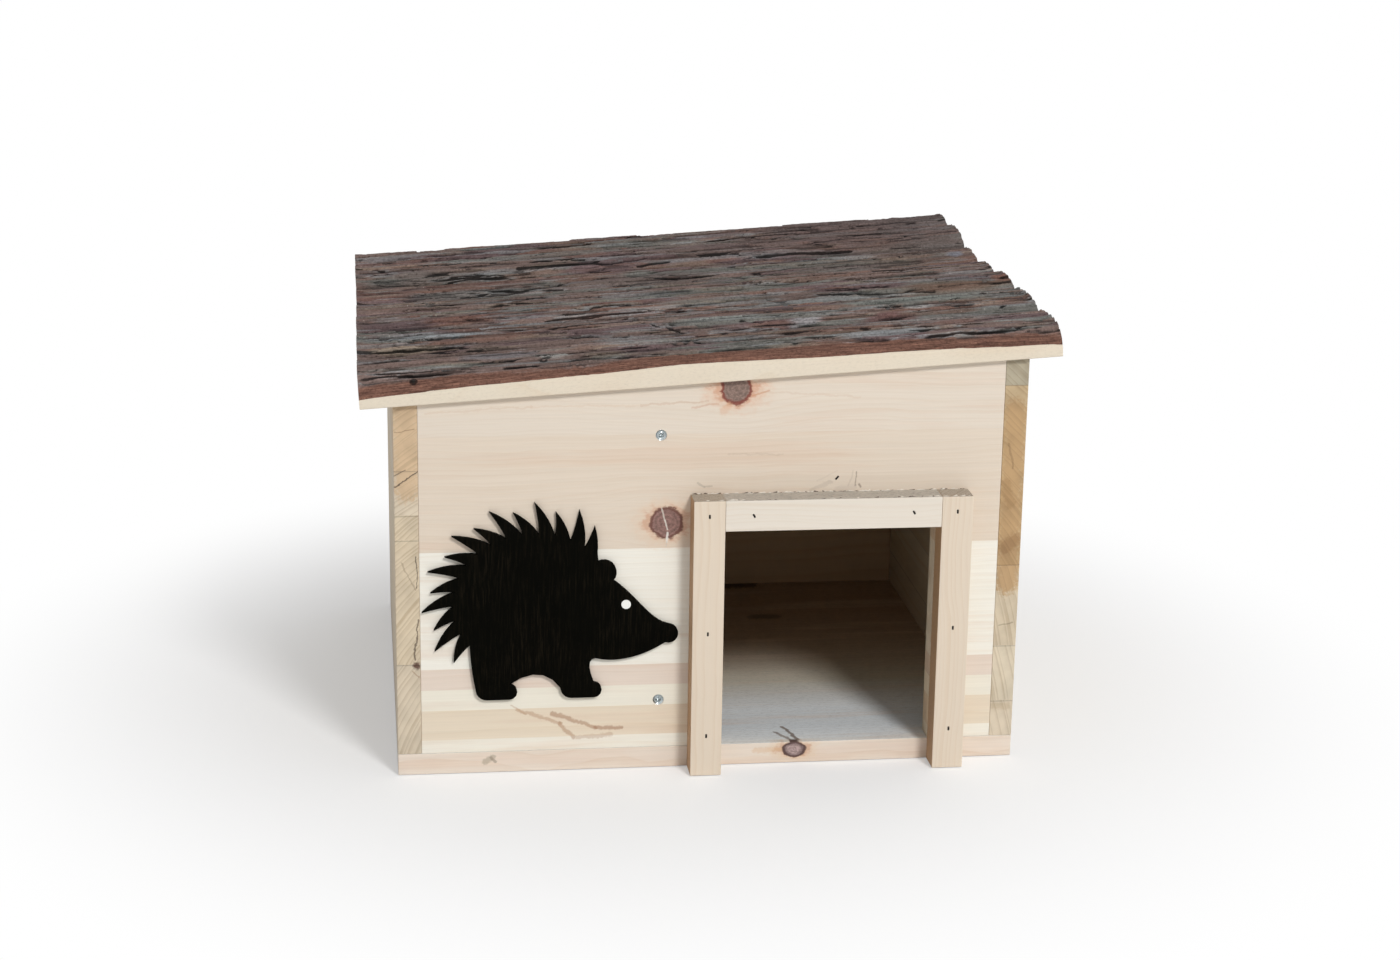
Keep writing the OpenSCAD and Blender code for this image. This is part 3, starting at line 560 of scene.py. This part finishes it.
def build_materials():
    side = {"end_axis": 1, "contrast": 0.5, "end_tone": 1.0, "lines": 0.3}
    return {
        # The front panel's left-facing sides, the doorway's right jamb among them, are browner: painted shade
        "front": wood("pine_front", FRONT_STRIPS, 254, FRONT_KNOTS, FRONT_MARKS, contrast=0.24, shade=0.14,
                      pink=0.25, faces=((0, -1, (1.0, 0.88, 0.74), 0.0),)),
        # The back panel's outer face is lighter than its inner strips, which hold painted shade
        "back": wood("pine_back", BACK_STRIPS, 254, contrast=0.4, faces=((1, 1, (1.25, 1.34, 1.5), 0.0),)),
        # The floor's top face is lighter and bluer than its sides: painted light where light falls in at the
        # door
        "floor": wood("pine_floor", FLOOR_STRIPS_WITH_PAINTED_SHADE, 350, FLOOR_KNOTS, FLOOR_MARKS, contrast=0.3, steps="LINEAR",
                      shade=0.2, pink=0.3, plain=FLOOR_STRIPS_WITH_PAINTED_SHADE[0][1], faces=((2, 1, (1.1, 1.25, 1.4), 0.22),)),
        "side": wood("pine_side", LEFT_STRIPS, 254, marks=LEFT_MARKS, **side),
        "right_side": wood("pine_right_side", RIGHT_STRIPS, 254, marks=RIGHT_MARKS, pitch=3.8, **side),
        "partition": wood("pine_partition", ((0, INNER_WITH_PAINTED_SHADE), (110, (212, 190, 160))), 240, end_axis=1),
        # The posts' left-facing sides are darker and browner: painted shade; their sawn tops are grey
        "post": wood("pine_post", ((0, (221, 206, 187)),), 20, pith=(-40, -20), pitch=2.6, contrast=0.35,
                     end_axis=2, end_tone=0.95,
                     faces=((2, 1, (0.66, 0.66, 0.66), 0.45), (0, -1, (0.64, 0.46, 0.32), 0.2))),
        "lintel": wood("pine_lintel", ((0, (225, 216, 203)),), 20, pith=(10, -40), pitch=2.6, contrast=0.3,
                       faces=((2, 1, (0.62, 0.62, 0.62), 0.5),)),
        "batten": wood("pine_batten", ((0, (218, 200, 172)),), 20, end_axis=1),
        "slab": wood("slab_wood", ((0, (225, 215, 197)),), 60, pith=(30, -6), pitch=2.4, contrast=0.25,
                     pink=0.1, vary=0.25, faces=((1, -1, (1.0, 1.0, 1.0), 0.1),)),
        "bark": bark_material(),
        "black": stained("black_stain"),
        "white": simple("white_paint", (238, 238, 234), 0.5, change=0.03),
        "zinc": simple("zinc", (188, 192, 198), 0.34, 1.0, scale=1.2, change=0.2),
        "screw_zinc": simple("screw_zinc", (180, 188, 190), 0.28, 1.0, scale=1.2, change=0.4),
        "splinter": simple("splinter", (228, 220, 208), 0.8, specular=0.2),
        "dark_splinter": simple("dark_splinter", (96, 82, 70), 0.8, specular=0.2),
        "dark_steel": simple("dark_steel", (38, 33, 30), 0.7, scale=2.0, change=0.4, specular=0.2),
    }


def placed(mesh, material, body):
    """New object with a mesh, a material and a body."""
    mesh.materials.append(MATERIALS[material])
    obj = bpy.data.objects.new(mesh.name, mesh)
    bpy.context.scene.collection.objects.link(obj)
    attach(obj, body)
    return obj


def mesh_object(name, points_mm, faces, material, body, matrix=None, smooth_angle=None):
    mesh = bpy.data.meshes.new(name)
    mesh.from_pydata((np.asarray(points_mm) * MM).tolist(), [], faces)
    if matrix is not None:
        mesh.transform(matrix)
    if smooth_angle:
        mesh.shade_smooth()
        mesh.set_sharp_from_angle(angle=math.radians(smooth_angle))
    return placed(mesh, material, body)


def rounded(node, ending, bevel, edge_min, sharp_deg, merge):
    """Mesh of a CAD piece whose longer, sharp edges are rounded off."""
    bm = bmesh.new()
    bm.from_mesh(frame["nodes"][node].data)
    bmesh.ops.remove_doubles(bm, verts=bm.verts, dist=merge * MM)
    bmesh.ops.dissolve_limit(bm, angle_limit=math.radians(1), verts=bm.verts, edges=bm.edges)
    edges = [e for e in bm.edges if len(e.link_faces) == 2 and e.calc_length() > edge_min * MM
             and e.calc_face_angle(0) > math.radians(sharp_deg)]
    bmesh.ops.bevel(bm, geom=edges, offset=bevel * MM, segments=2, profile=0.6, affect="EDGES",
                    clamp_overlap=True)
    bmesh.ops.triangulate(bm, faces=[f for f in bm.faces if len(f.verts) > 4])
    for face in bm.faces:
        face.smooth = False
    mesh = bpy.data.meshes.new(node + ending)
    bm.to_mesh(mesh)
    bm.free()
    return mesh


def write_attribute(mesh, name, kind, values):
    attribute = mesh.attributes.new(name, kind, "POINT")
    field = "vector" if kind == "FLOAT_VECTOR" else "value"
    attribute.data.foreach_set(field, np.ascontiguousarray(values, np.float32).ravel())


def points_of(mesh):
    co = np.zeros(len(mesh.vertices) * 3, np.float32)
    mesh.vertices.foreach_get("co", co)
    return co.reshape(-1, 3).astype(float) / MM


def in_lid(points_mm):
    """Points of the house's frame in the lid's frame, both in mm."""
    back = np.array(LID.inverted())
    return points_mm @ back[:3, :3].T + back[:3, 3] / MM


def write_grain(mesh, points, seed):
    """What the wood's shader needs: places along the grain, across and through, the seed and the start."""
    write_attribute(mesh, "board", "FLOAT_VECTOR", points)
    write_attribute(mesh, "offset", "FLOAT_VECTOR", np.tile([seed, points[:, 1].min(), 0], (len(points), 1)))


def board(node, material, axes, seed, slot, on_lid=False, bevel=BEVEL):
    """Copy of a CAD board with eased edges. axes are those along the grain, across and through it."""
    mesh = rounded(node, "_wood", bevel, BEVEL_EDGE_MIN, 30, 0.01)
    points = points_of(mesh)
    if on_lid:
        points = in_lid(points)
    write_grain(mesh, points[:, axes], seed)
    obj = placed(mesh, material, frame["nodes"][node]["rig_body"])
    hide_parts(node)


def resampled(line, count):
    """Points spaced evenly along a line, the inward normals there and the distances along it."""
    steps = np.hypot(*np.diff(line, axis=0).T)
    length = np.concatenate([[0], np.cumsum(steps)])
    s = np.linspace(0, length[-1], count)
    even = np.column_stack([np.interp(s, length, line[:, 0]), np.interp(s, length, line[:, 1])])
    tangent = np.gradient(even, axis=0)
    tangent /= np.hypot(*tangent.T)[:, None]
    for _ in range(3):
        tangent[1:-1] = (tangent[:-2] + tangent[1:-1] + tangent[2:]) / 3
    tangent /= np.hypot(*tangent.T)[:, None]
    return even, np.column_stack([tangent[:, 1], -tangent[:, 0]]), s


def bark_texture(x, s, seed, knots, cracks):
    """Fine relief of the bark from 0, in a deep crack, to 1, how much of a crack each point is, and its rims.

    knots are (along, across, radius), and the bark's lines bend round them. cracks are lines of points.
    """
    xw = x + 14 * sway(x, s, 55, 16, seed)
    sw = s + 9 * sway(x, s, 80, 22, seed + 5) + 2.2 * sway(x, s, 13, 6, seed + 6)
    knot_rings = 0
    for along, across, radius in knots:
        away = np.hypot((x - along) * 0.75, s - across) / radius
        sw = sw - 0.7 * (s - across) * np.exp(-(away / 2.2) ** 2)
        knot_rings = knot_rings + (0.5 * np.cos(away * 9) - 0.25) * np.exp(-away ** 4)
    step_x = x[1, 0] - x[0, 0]
    step_s = s[0, 1] - s[0, 0]

    def distance(values):
        """Roughly how far each point is from where the values are 0, in mm."""
        slope = np.hypot(np.gradient(values, step_x, axis=0), np.gradient(values, step_s, axis=1))
        return abs(values) / np.maximum(slope, 0.02)

    main = distance(sway(xw, sw, 75, 6.5, seed + 9, 3))
    fine = distance(sway(xw, sw, 26, 2.4, seed + 23, 3))
    where = smooth(sway(x, s, 70, 10, seed + 57, 3) / 0.08)
    fine_where = smooth(sway(x, s, 25, 9, seed + 71, 3) / 0.12)
    crack = np.maximum((1 - smooth((main - 0.4) / 1.1)) * where, 0.7 * (1 - smooth(fine / 0.9)) * fine_where)
    wander = 2.4 * sway(x, s, 16, 40, seed + 83, 3)
    for line in cracks:
        for (x_a, s_a), (x_b, s_b) in zip(line, line[1:]):
            share = np.clip((x - x_a) / (x_b - x_a), 0, 1)
            beyond = np.maximum(0, abs(x - (x_a + x_b) / 2) - abs(x_b - x_a) / 2)
            off = np.hypot(s - s_a - share * (s_b - s_a) - wander, beyond * 0.5)
            crack = np.maximum(crack, 1 - smooth((off - 0.8) / 0.9))
            main = np.minimum(main, off)
            where = np.maximum(where, np.exp(-(off / 4) ** 2))
    ridge = sway(xw, sw, 80, 3.0, seed + 31, 3)
    rough = sway(x, s, 4, 1.7, seed + 41, 3)
    mound = 1 - np.exp(-main / 1.6)
    height = 0.5 + 0.28 * mound + 0.45 * ridge + 0.35 * rough - 0.75 * crack + knot_rings
    rim = np.exp(-((main - 1.9) / 0.9) ** 2) * where
    return np.clip(height, 0, 1), np.clip(crack - np.minimum(0, knot_rings) * 0.8, 0, 1), rim


def bark_colours(x, y, s, rim, seed):
    """Colour of the bark at each point before its fine streaks: broad areas, pale crack rims and patches."""
    def blended(colour, share, other):
        return colour + (np.array(other) - colour) * share[..., None]

    def area(long, wide, low, high, number):
        return smooth((sway(x, s, long, wide, seed + number) + 0.5 - low) / (high - low))

    colour = np.broadcast_to(np.array(BARK_BROWN, float), x.shape + (3,))
    for strength, *shape, other in BARK_AREAS:
        colour = blended(colour, strength * area(*shape), other)
    colour = blended(colour, 0.8 * rim * area(60, 9, 0.48, 0.6, 17), BARK_BLUE)
    colour = colour * (1.0 + 0.32 * sway(x, s, 130, 13, seed + 18, 3))[..., None]
    wobble = 0.9 * sway(x, s, 18, 4, seed + 16)
    for px, py, long, wide, tone, strength in BARK_PATCHES:
        away = np.hypot((x - px) / long, (y - py) / wide) + wobble
        colour = blended(colour, strength * (1 - smooth((away - 0.55) / 0.6)), tone)
    return colour


def front_band(x, x0, x1):
    """Height of the front slab's bare sawn edge, which is widest in the middle."""
    places, heights = zip(*FRONT_BAND)
    return np.interp((x - x0) / (x1 - x0), places, heights) + 0.7 * (noise(x / 25, x * 0, 3) - 0.5)


def cad_bark(k, x0, x1):
    """A search tree of slab k's solid bark, in the lid's frame, and its profile without furrows."""
    mesh = frame["nodes"][f"slab_bark_{k}"].data
    mesh.calc_loop_triangles()
    points = in_lid(points_of(mesh))
    tree = BVHTree.FromPolygons(points.tolist(), [tuple(t.vertices) for t in mesh.loop_triangles])
    end = points[points[:, 0] < x0 + 0.05]
    y0, y1 = end[:, 1].min(), end[:, 1].max()
    ys = y0 + (y1 - y0) * (1 - np.cos(np.linspace(0, math.pi, 45))) / 2
    tops = []
    for y in np.clip(ys, y0 + 0.02, y1 - 0.02):
        hits = [tree.ray_cast((x, y, 99), (0, 0, -1))[0] for x in np.linspace(x0 + 1, x1 - 1, 60)]
        tops.append(np.quantile([h.z for h in hits if h], 0.95))
    floor = [tree.ray_cast((x0 + 0.5, y, -99), (0, 0, 1))[0].z for y in np.clip(ys, y0 + 0.02, y1 - 0.02)]
    return tree, ys, np.array(floor), np.array(tops)


def furrow_depths(tree, X, outer, inward, s, seed):
    """How far the solid bark lies below its profile at each point, with the plates' edges ragged."""
    shift_x = X + 9 * sway(X, s[None, :], 22, 7, seed, 3)
    shift_s = np.clip(s[None, :] + 6 * sway(X, s[None, :], 34, 9, seed + 3), s[0], s[-1])
    y, z, ny, nz = (np.interp(shift_s, s, values) for values in (*outer.T, *inward.T))
    depth = np.zeros(X.shape)
    lead = 0.6
    reach = 6
    for i, j in np.ndindex(X.shape):
        start = (shift_x[i, j], y[i, j] - lead * ny[i, j], z[i, j] - lead * nz[i, j])
        distance = tree.ray_cast(start, (0, ny[i, j], nz[i, j]), reach)[3]
        depth[i, j] = 0 if distance is None else max(0, distance - lead)
    return np.minimum(depth, FURROW_DEPTH)


def zipped(over, under, y, ring=0):
    """Triangles between two rows of a ring's points that run the same way, by their places along y."""
    start = ring * len(y)
    faces = []
    i = j = 0
    while i < len(over) - 1 or j < len(under) - 1:
        more_over = i < len(over) - 1
        if j == len(under) - 1 or (more_over and y[over[i + 1] - start] <= y[under[j + 1] - start]):
            faces.append([int(over[i]), int(over[i + 1]), int(under[j])])
            i += 1
        else:
            faces.append([int(over[i]), int(under[j + 1]), int(under[j])])
            j += 1
    return faces


def lofted(rings, over=0):
    """Closed mesh from rings of points, all of the same count, with flat ends.

    Where over is given, a ring's first points are the upper side of a thin crescent.
    """
    count, around = rings.shape[:2]
    index = np.arange(count * around).reshape(count, around)
    a = index[:-1]
    b = index[1:]
    quads = np.stack([a, b, np.roll(b, -1, 1), np.roll(a, -1, 1)], axis=-1).reshape(-1, 4)
    faces = quads.tolist()
    if over:
        first, last = index[0], index[-1]
        faces += zipped(first[:over], first[over:][::-1], rings[0, :, 1])
        far = zipped(last[:over], last[over:][::-1], rings[-1, :, 1], len(index) - 1)
        faces += [face[::-1] for face in far]
    else:
        faces.append(index[0].tolist())
        faces.append(index[-1][::-1].tolist())
    return rings.reshape(-1, 3), faces


def front_slab_wood(x, ys, wood_z, rise):
    """Sawn wood of the front slab, whose bare edge is as high as the bark above it leaves it."""
    nx = len(x)
    top_y = np.tile(ys, (nx, 1))
    top_z = wood_z[None, :] + rise * np.exp(-((top_y - ys[0]) / FRONT_BAND_REACH) ** 2)
    ease = 0.4
    ends = [(ys[-1], LID_GAP + ease), (ys[-1] - ease, LID_GAP), (ys[0] + ease, LID_GAP),
            (ys[0], LID_GAP + ease)]
    Y = np.hstack([top_y] + [np.full((nx, 1), y) for y, _ in ends])
    Z = np.hstack([top_z] + [np.full((nx, 1), z) for _, z in ends])
    points, faces = lofted(np.stack([np.tile(x[:, None], (1, Y.shape[1])), Y, Z], -1))
    obj = mesh_object("roof_slab_1_wood", points, faces, "slab", "lid", LID, 30)
    write_grain(obj.data, points, 13.0)
    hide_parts("roof_slab_1")


def slab(k):
    """Slab k of the lid: its sawn wood, and its bark with the solid's plates and finer cracks."""
    low = in_lid(points_of(frame["nodes"][f"slab_bark_{k}"].data))
    x0, x1 = low[:, 0].min(), low[:, 0].max()
    tree, ys, wood_z, bark_z = cad_bark(k, x0, x1)
    factor = 1
    nx = int((x1 - x0) / (BARK_STEP_ALONG * factor)) + 1
    line = np.vstack([[ys[0], wood_z[0]], np.column_stack([ys, bark_z]), [ys[-1], wood_z[-1]]])
    length = np.hypot(*np.diff(line, axis=0).T).sum()
    ns = int(length / (BARK_STEP_ACROSS * factor))
    outer, inward, s = resampled(line, ns)
    x = np.linspace(x0, x1, nx)
    X, S = np.meshgrid(x, s, indexing="ij")

    def in_pattern(x_point, y_point):
        return x_point + SLAB_SHIFT * k, np.interp(y_point, outer[:, 0], s)

    knots = [(*in_pattern(*at), radius) for *at, radius in BARK_KNOTS if ys[0] < at[1] < ys[-1]]
    cracks = [[in_pattern(*at) for at in places] for places in BARK_CRACKS if ys[0] < places[0][1] < ys[-1]]
    fine, crack, rim = bark_texture(X + SLAB_SHIFT * k, S, 100 * k, knots, cracks)
    # Painted shade of a pit round each bark tack, carried in the crack attribute
    tack_pit_shade = np.zeros(X.shape)
    for tack in islands("bark_tacks") if k == 1 else ():
        x_tack, y_tack, _ = in_lid(tack).mean(0)
        around = np.hypot(X - x_tack, outer[None, :, 0] - y_tack)
        tack_pit_shade = np.maximum(tack_pit_shade, 1 - smooth((around - TACK_PIT_SHADE_RADIUS) / 0.8))
    tint = bark_colours(X, np.tile(outer[:, 0], (nx, 1)), S + 40 * k, rim, 100 * k)
    furrow = furrow_depths(tree, X, outer, inward, s, 50 * k)

    edge_room = np.minimum(S, length - S)
    ragged = 7 * sway(X, S, 40, 12, 7 * k + 2) + 3 * sway(X, S, 5, 2, 7 * k)
    width = np.interp((X - x0) / (x1 - x0), *zip(*INNER_BARK))
    inner = smooth((width + ragged - S) / 5 + 0.3) * (k == 1)
    frayed = 5 * sway(X, S, 30, 9, 7 * k + 4)
    inner = np.maximum(inner, 0.9 * smooth((1.5 + frayed - edge_room) / 1.5))
    calm = 0.12 + 0.88 * smooth(np.minimum(X - x0, x1 - X) / END_FADE)
    push = 0.05 + furrow * (1 - inner) + FINE_DEPTH * (1 - fine) * (1 - 0.6 * inner) * calm + 0.8 * inner
    push = np.minimum(push, 0.85 * np.interp(outer[:, 0], ys, bark_z - wood_z)[None, :])
    Y = outer[None, :, 0] + inward[None, :, 0] * push
    Z = outer[None, :, 1] + inward[None, :, 1] * push
    under_y, under_z = (np.tile(values[::-1][1:-1:4], (nx, 1)) for values in (ys, wood_z))
    if k == 1:
        rise = front_band(x, x0, x1)[:, None] - (wood_z[0] - LID_GAP)
        Z = np.minimum(Z + rise * np.exp(-((Y - ys[0]) / FRONT_BAND_REACH) ** 2), bark_z.max())
        under_z = under_z + rise * np.exp(-((under_y - ys[0]) / FRONT_BAND_REACH) ** 2)
        front_slab_wood(x, ys, wood_z, rise)
    else:
        board(f"roof_slab_{k}", "slab", (0, 1, 2), 13.0 * k, "slab_wood", on_lid=True, bevel=SLAB_BEVEL)
    around = ns + under_y.shape[1]
    rings = np.stack([np.tile(x[:, None], (1, around)), np.hstack([Y, under_y]), np.hstack([Z, under_z])], -1)
    points, faces = lofted(rings, over=ns)
    obj = mesh_object(f"slab_bark_{k}_relief", points, faces, "bark", "lid", LID, 60)

    def padded(values, filling=0.0):
        """Values of the bark's upper side, with a filling for its underside."""
        rest = np.full((nx, around - ns, *values.shape[2:]), filling)
        return np.concatenate([values, rest], axis=1)

    seam_room = length - S if k == 1 else edge_room
    tint = tint * (SEAM_SHADE + (1 - SEAM_SHADE) * smooth(seam_room / SEAM_REACH))[..., None]
    place = np.stack([padded(X), padded(S), np.full((nx, around), 31.0 * k)], -1)
    write_attribute(obj.data, "bark", "FLOAT_VECTOR", place)
    write_attribute(obj.data, "tint", "FLOAT_VECTOR", linear_array(padded(tint, 100.0)))
    for name, values in (("relief", 1 - push / 2.6), ("crack", np.maximum(crack * (1 - inner), tack_pit_shade)),
                         ("inner", inner), ("furrow", np.minimum(1, furrow / 1.2) * (1 - inner))):
        write_attribute(obj.data, name, "FLOAT", padded(values))
    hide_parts(f"slab_bark_{k}")


def islands(node):
    """The points of each loose part of a CAD node, in mm."""
    bm = bmesh.new()
    bm.from_mesh(frame["nodes"][node].data)
    bmesh.ops.remove_doubles(bm, verts=bm.verts, dist=0.001 * MM)
    seen = set()
    parts = []
    for start in bm.verts:
        if start not in seen:
            part = [start]
            seen.add(start)
            for v in part:
                others = [e.other_vert(v) for e in v.link_edges]
                part += [other for other in others if other not in seen]
                seen.update(others)
            parts.append(np.array([tuple(v.co / MM) for v in part]))
    bm.free()
    return parts


def turned(profile, segments=40):
    """Rings of a turned solid from (radius, height) points, from the top's middle to the tip."""
    angles = np.linspace(0, 2 * math.pi, segments, endpoint=False)
    rings = [[(r * math.cos(t), r * math.sin(t), z) for t in angles] for r, z in profile]
    return np.array(rings)


def screw_mesh(head_r, shank_r, length, turn):
    """Countersunk cross-recess screw that points down from its head at height 0."""
    head_h = head_r - shank_r
    flat = [(head_r * t, 0) for t in np.linspace(0.02, 0.98, 15)]
    body = [(head_r, -0.12), (shank_r, -head_h), (shank_r, -length * 0.35)]
    thread = []
    z = -length * 0.35
    while z > -length + 2 * shank_r:
        thread += [(shank_r * THREAD_DEPTH, z), (shank_r, z - 0.5), (shank_r * THREAD_DEPTH, z - 1.0)]
        z -= THREAD_PITCH
    rings = turned(flat + body + thread + [(0.15, -length)])
    top = rings[:len(flat)]
    px, py = top[..., 0], top[..., 1]
    u = px * math.cos(turn) + py * math.sin(turn)
    v = -px * math.sin(turn) + py * math.cos(turn)
    arm = head_r * 0.56
    width = head_r * 0.16
    bars = [smooth((arm - abs(p)) / 0.3) * smooth((width - abs(q)) / 0.25 + 0.5) for p, q in ((u, v), (v, u))]
    middle = smooth(1.3 - np.hypot(u, v) / (head_r * 0.3))
    top[..., 2] -= np.maximum(np.maximum(*bars) * 0.3, middle * 0.4) * head_r
    away = np.hypot(px, py) / head_r
    top[..., 2] += HEAD_DOME * np.maximum(0, 1 - (away / 0.6) ** 2) - HEAD_DISH * smooth((1 - away) / 0.35)
    return lofted(rings)


def nail_mesh(head_r, shank_r, length, _turn):
    return lofted(turned([(0.05, -0.05), (head_r * 0.8, 0), (head_r, -0.2), (head_r, -0.6),
                          (shank_r, -0.8), (shank_r, -length + 2), (0.1, -length)]))


def fasteners(node, outward, kind, material, slot, body):
    """One object with a detailed fastener in place of each loose part of a CAD node."""
    all_points = []
    all_faces = []
    for i, part in enumerate(islands(node)):
        out = np.array(outward(part.mean(0)))
        along = part @ out
        top = along.max()
        length = top - along.min()
        middle = part[along > top - 0.05].mean(0)
        side = part - middle
        wide = np.sqrt(np.maximum((side ** 2).sum(1) - (side @ out) ** 2, 0))
        head_r = wide[along > top - 1.0].max()
        shank_r = wide[along < along.min() + length * 0.5].max()
        points, faces = kind(head_r, shank_r, length, i * 0.7)
        turn = Vector((0, 0, 1)).rotation_difference(Vector(out)).to_matrix()
        all_faces += [[p + len(all_points) for p in face] for face in faces]
        all_points += (points @ np.array(turn).T + middle).tolist()
    obj = mesh_object(node + "_detailed", all_points, all_faces, material, body, None, 35)
    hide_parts(node)


def eased(node, material, slot, bevel, edge_min=0.5):
    """Copy of a CAD piece with slightly rounded edges."""
    mesh = rounded(node, "_eased", bevel, edge_min, 40, 0.005)
    mesh.shade_smooth()
    mesh.set_sharp_from_angle(angle=math.radians(30))
    obj = placed(mesh, material, frame["nodes"][node]["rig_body"])
    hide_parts(node)


def painted(node, material):
    obj = frame["nodes"][node]
    obj.data.materials.clear()
    obj.data.materials.append(MATERIALS[material])


def build_boards():
    for pieces, slot, on_lid in ((BOARDS, "pine_boards", False), (ENTRANCE, "pine_battens", False),
                                 (ROOF_BATTENS, "pine_battens", True)):
        for piece in pieces:
            board(*piece, slot, on_lid)
    for number in range(1, SLABS + 1):
        slab(number)


def build_metal():
    screws = {"kind": screw_mesh, "material": "screw_zinc", "slot": "zinc_screws"}
    nails = {"kind": nail_mesh, "material": "dark_steel", "slot": "steel_nails", "body": "lid"}
    fasteners("partition_screws", lambda p: (0, -1, 0), body="house", **screws)
    fasteners("floor_screws", lambda p: (0, 0, -1), body="house", **screws)
    fasteners("side_screws", lambda p: (math.copysign(1, p[0]), 0, 0), body="house", **screws)
    fasteners("wall_leaf_screws", lambda p: (0, 1, 0), body="house", **screws)
    fasteners("lid_leaf_screws", lambda p: -LID_UP, body="lid", **screws)
    fasteners("slab_nails", lambda p: LID_UP, **nails)
    fasteners("bark_tacks", lambda p: LID_UP, **nails)
    painted("entrance_brads", "dark_steel")
    for side in ("left", "right"):
        for part, *sizes in (("wall_leaf", 0.15), ("lid_leaf", 0.15), ("pin", 0.2, 0.1)):
            eased(f"{side}_hinge_{part}", "zinc", "zinc_hinges", *sizes)


def splinters(node, seed):
    """Torn fibres along the sawn top of an entrance piece, pale ones and dark ones."""
    low, high = (np.array(v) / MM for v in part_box(node))
    draw = np.random.default_rng(seed)
    points = {"splinter": [], "dark_splinter": []}
    faces = {"splinter": [], "dark_splinter": []}
    count = int((high[0] - low[0]) / SPLINTER_PITCH)
    for i in range(count):
        kind = "splinter" if draw.uniform() < PALE_SPLINTERS else "dark_splinter"
        size = SPLINTER_SIZE if kind == "splinter" else 0.7 * SPLINTER_SIZE
        x = low[0] + (i + draw.uniform(0.1, 0.9)) * (high[0] - low[0]) / count
        y = high[1] - draw.uniform(0.2, 1.2) if draw.uniform() < 0.7 else low[1] + draw.uniform(1.2, 2.0)
        turn = draw.uniform(-0.4, 0.4)
        half = np.array([math.cos(turn), math.sin(turn), 0]) * size * draw.uniform(0.4, 1.3)
        side = np.array([-math.sin(turn), math.cos(turn), 0]) * size * draw.uniform(0.08, 0.16)
        tip = np.array([0, 0, size * draw.uniform(0.15, 0.5)]) + half * draw.uniform(-0.6, 0.9)
        middle = np.array([min(max(x, low[0] + 2.5), high[0] - 2.5), y, high[2] - 0.05])
        start = len(points[kind])
        points[kind] += [middle - half, middle - side, middle + half, middle + side, middle + tip]
        faces[kind] += [[start + a, start + (a + 1) % 4, start + 4] for a in range(4)]
        faces[kind].append([start + 3, start + 2, start + 1, start])
    for kind in points:
        mesh_object(f"{node}_{kind}s", points[kind], faces[kind], kind, "house")


def stray_brad():
    """Head of a brad that missed the frame and stands in the front panel."""
    turn = math.radians(STRAY_BRAD_TURN)
    x, z = STRAY_BRAD_AT
    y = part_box("front_panel")[0].y / MM
    points = []
    for dy in STRAY_BRAD_DEPTH:
        for u, v in ((-1, -1), (1, -1), (1, 1), (-1, 1)):
            du, dv = u * STRAY_BRAD_HALF[0], v * STRAY_BRAD_HALF[1]
            points.append((x + du * math.cos(turn) - dv * math.sin(turn), y + dy,
                           z + du * math.sin(turn) + dv * math.cos(turn)))
    faces = [[0, 1, 2, 3], [7, 6, 5, 4]] + [[i, i + 4, (i + 1) % 4 + 4, (i + 1) % 4] for i in range(4)]
    mesh_object("stray_brad", points, faces, "dark_steel", "house")


def build_camera():
    data = bpy.data.cameras.new("camera")
    data.lens = LENS_MM
    data.sensor_width = 36
    data.clip_end = 50
    camera = bpy.data.objects.new("camera", data)
    turn = Matrix((CAMERA_RIGHT, CAMERA_UP, [-v for v in CAMERA_AHEAD])).transposed()
    camera.matrix_world = Matrix.Translation(CAMERA_AT_M) @ turn.to_4x4()
    bpy.context.scene.collection.objects.link(camera)
    bpy.context.scene.camera = camera


def build_world():
    """White for the rays that see the studio, and a soft sky for the light."""
    world = bpy.data.worlds.new("studio")
    n = Nodes(world)
    x, y, z = (value * share for value, share in zip(n.coordinates("Generated"), SKY_TOWARDS))
    level = n.span(x + y + z, -1.0, 1.0, SKY_DIM, SKY_BRIGHT, "LINEAR")
    lit = n.out("Background", {"Color": (1.0, 1.0, 1.0), "Strength": level})
    seen = n.out("Background", {"Color": (1.0, 1.0, 1.0), "Strength": 1.0})
    n.finish(n.out("MixShader", (n.studio_rays(), lit, seen)), "OutputWorld")
    bpy.context.scene.world = world
    bpy.context.scene.view_settings.view_transform = "Standard"


def build_lamp(name, place_m, target_m, size_m, watts):
    data = bpy.data.lights.new(name, "AREA")
    data.shape = "DISK"
    data.size = size_m
    data.energy = watts
    light = bpy.data.objects.new(name, data)
    light.location = place_m
    light.rotation_euler = (Vector(target_m) - Vector(place_m)).to_track_quat("-Z", "Y").to_euler()
    bpy.context.scene.collection.objects.link(light)


def build_floor():
    """Pale floor that keeps the shadow near the house and is white further out."""
    material, n = new_material("floor_stage")
    x, y, _ = n.split(n.out("NewGeometry", output="Position"))
    away = n.math("SQRT", x * x + y * y)
    fade = n.span(away, FLOOR_SHADOW_M, FLOOR_WHITE_M, FLOOR_LEAST_WHITE, 1.0)
    pale = n.principled(Base_Color=linear(250, 250, 250), Roughness=0.9, Specular_IOR_Level=0.1)
    white = n.out("Emission", {"Strength": 1.0})
    n.finish(n.out("MixShader", (fade * n.studio_rays(), pale, white)))
    bpy.ops.mesh.primitive_plane_add(size=30)
    floor = bpy.context.object
    floor.name = "floor"
    floor.location.z = -FLOOR_BELOW_M
    floor.data.materials.append(material)


MATERIALS = build_materials()
build_boards()
build_metal()
eased("hedgehog_silhouette", "black", "black_plywood", 0.25, 0.3)
painted("hedgehog_eye", "white")
stray_brad()
for number, piece in enumerate(("left_entrance_post", "entrance_lintel", "right_entrance_post")):
    splinters(piece, number)
build_camera()
build_world()
for lamp in LAMPS:
    build_lamp(*lamp)
build_floor()
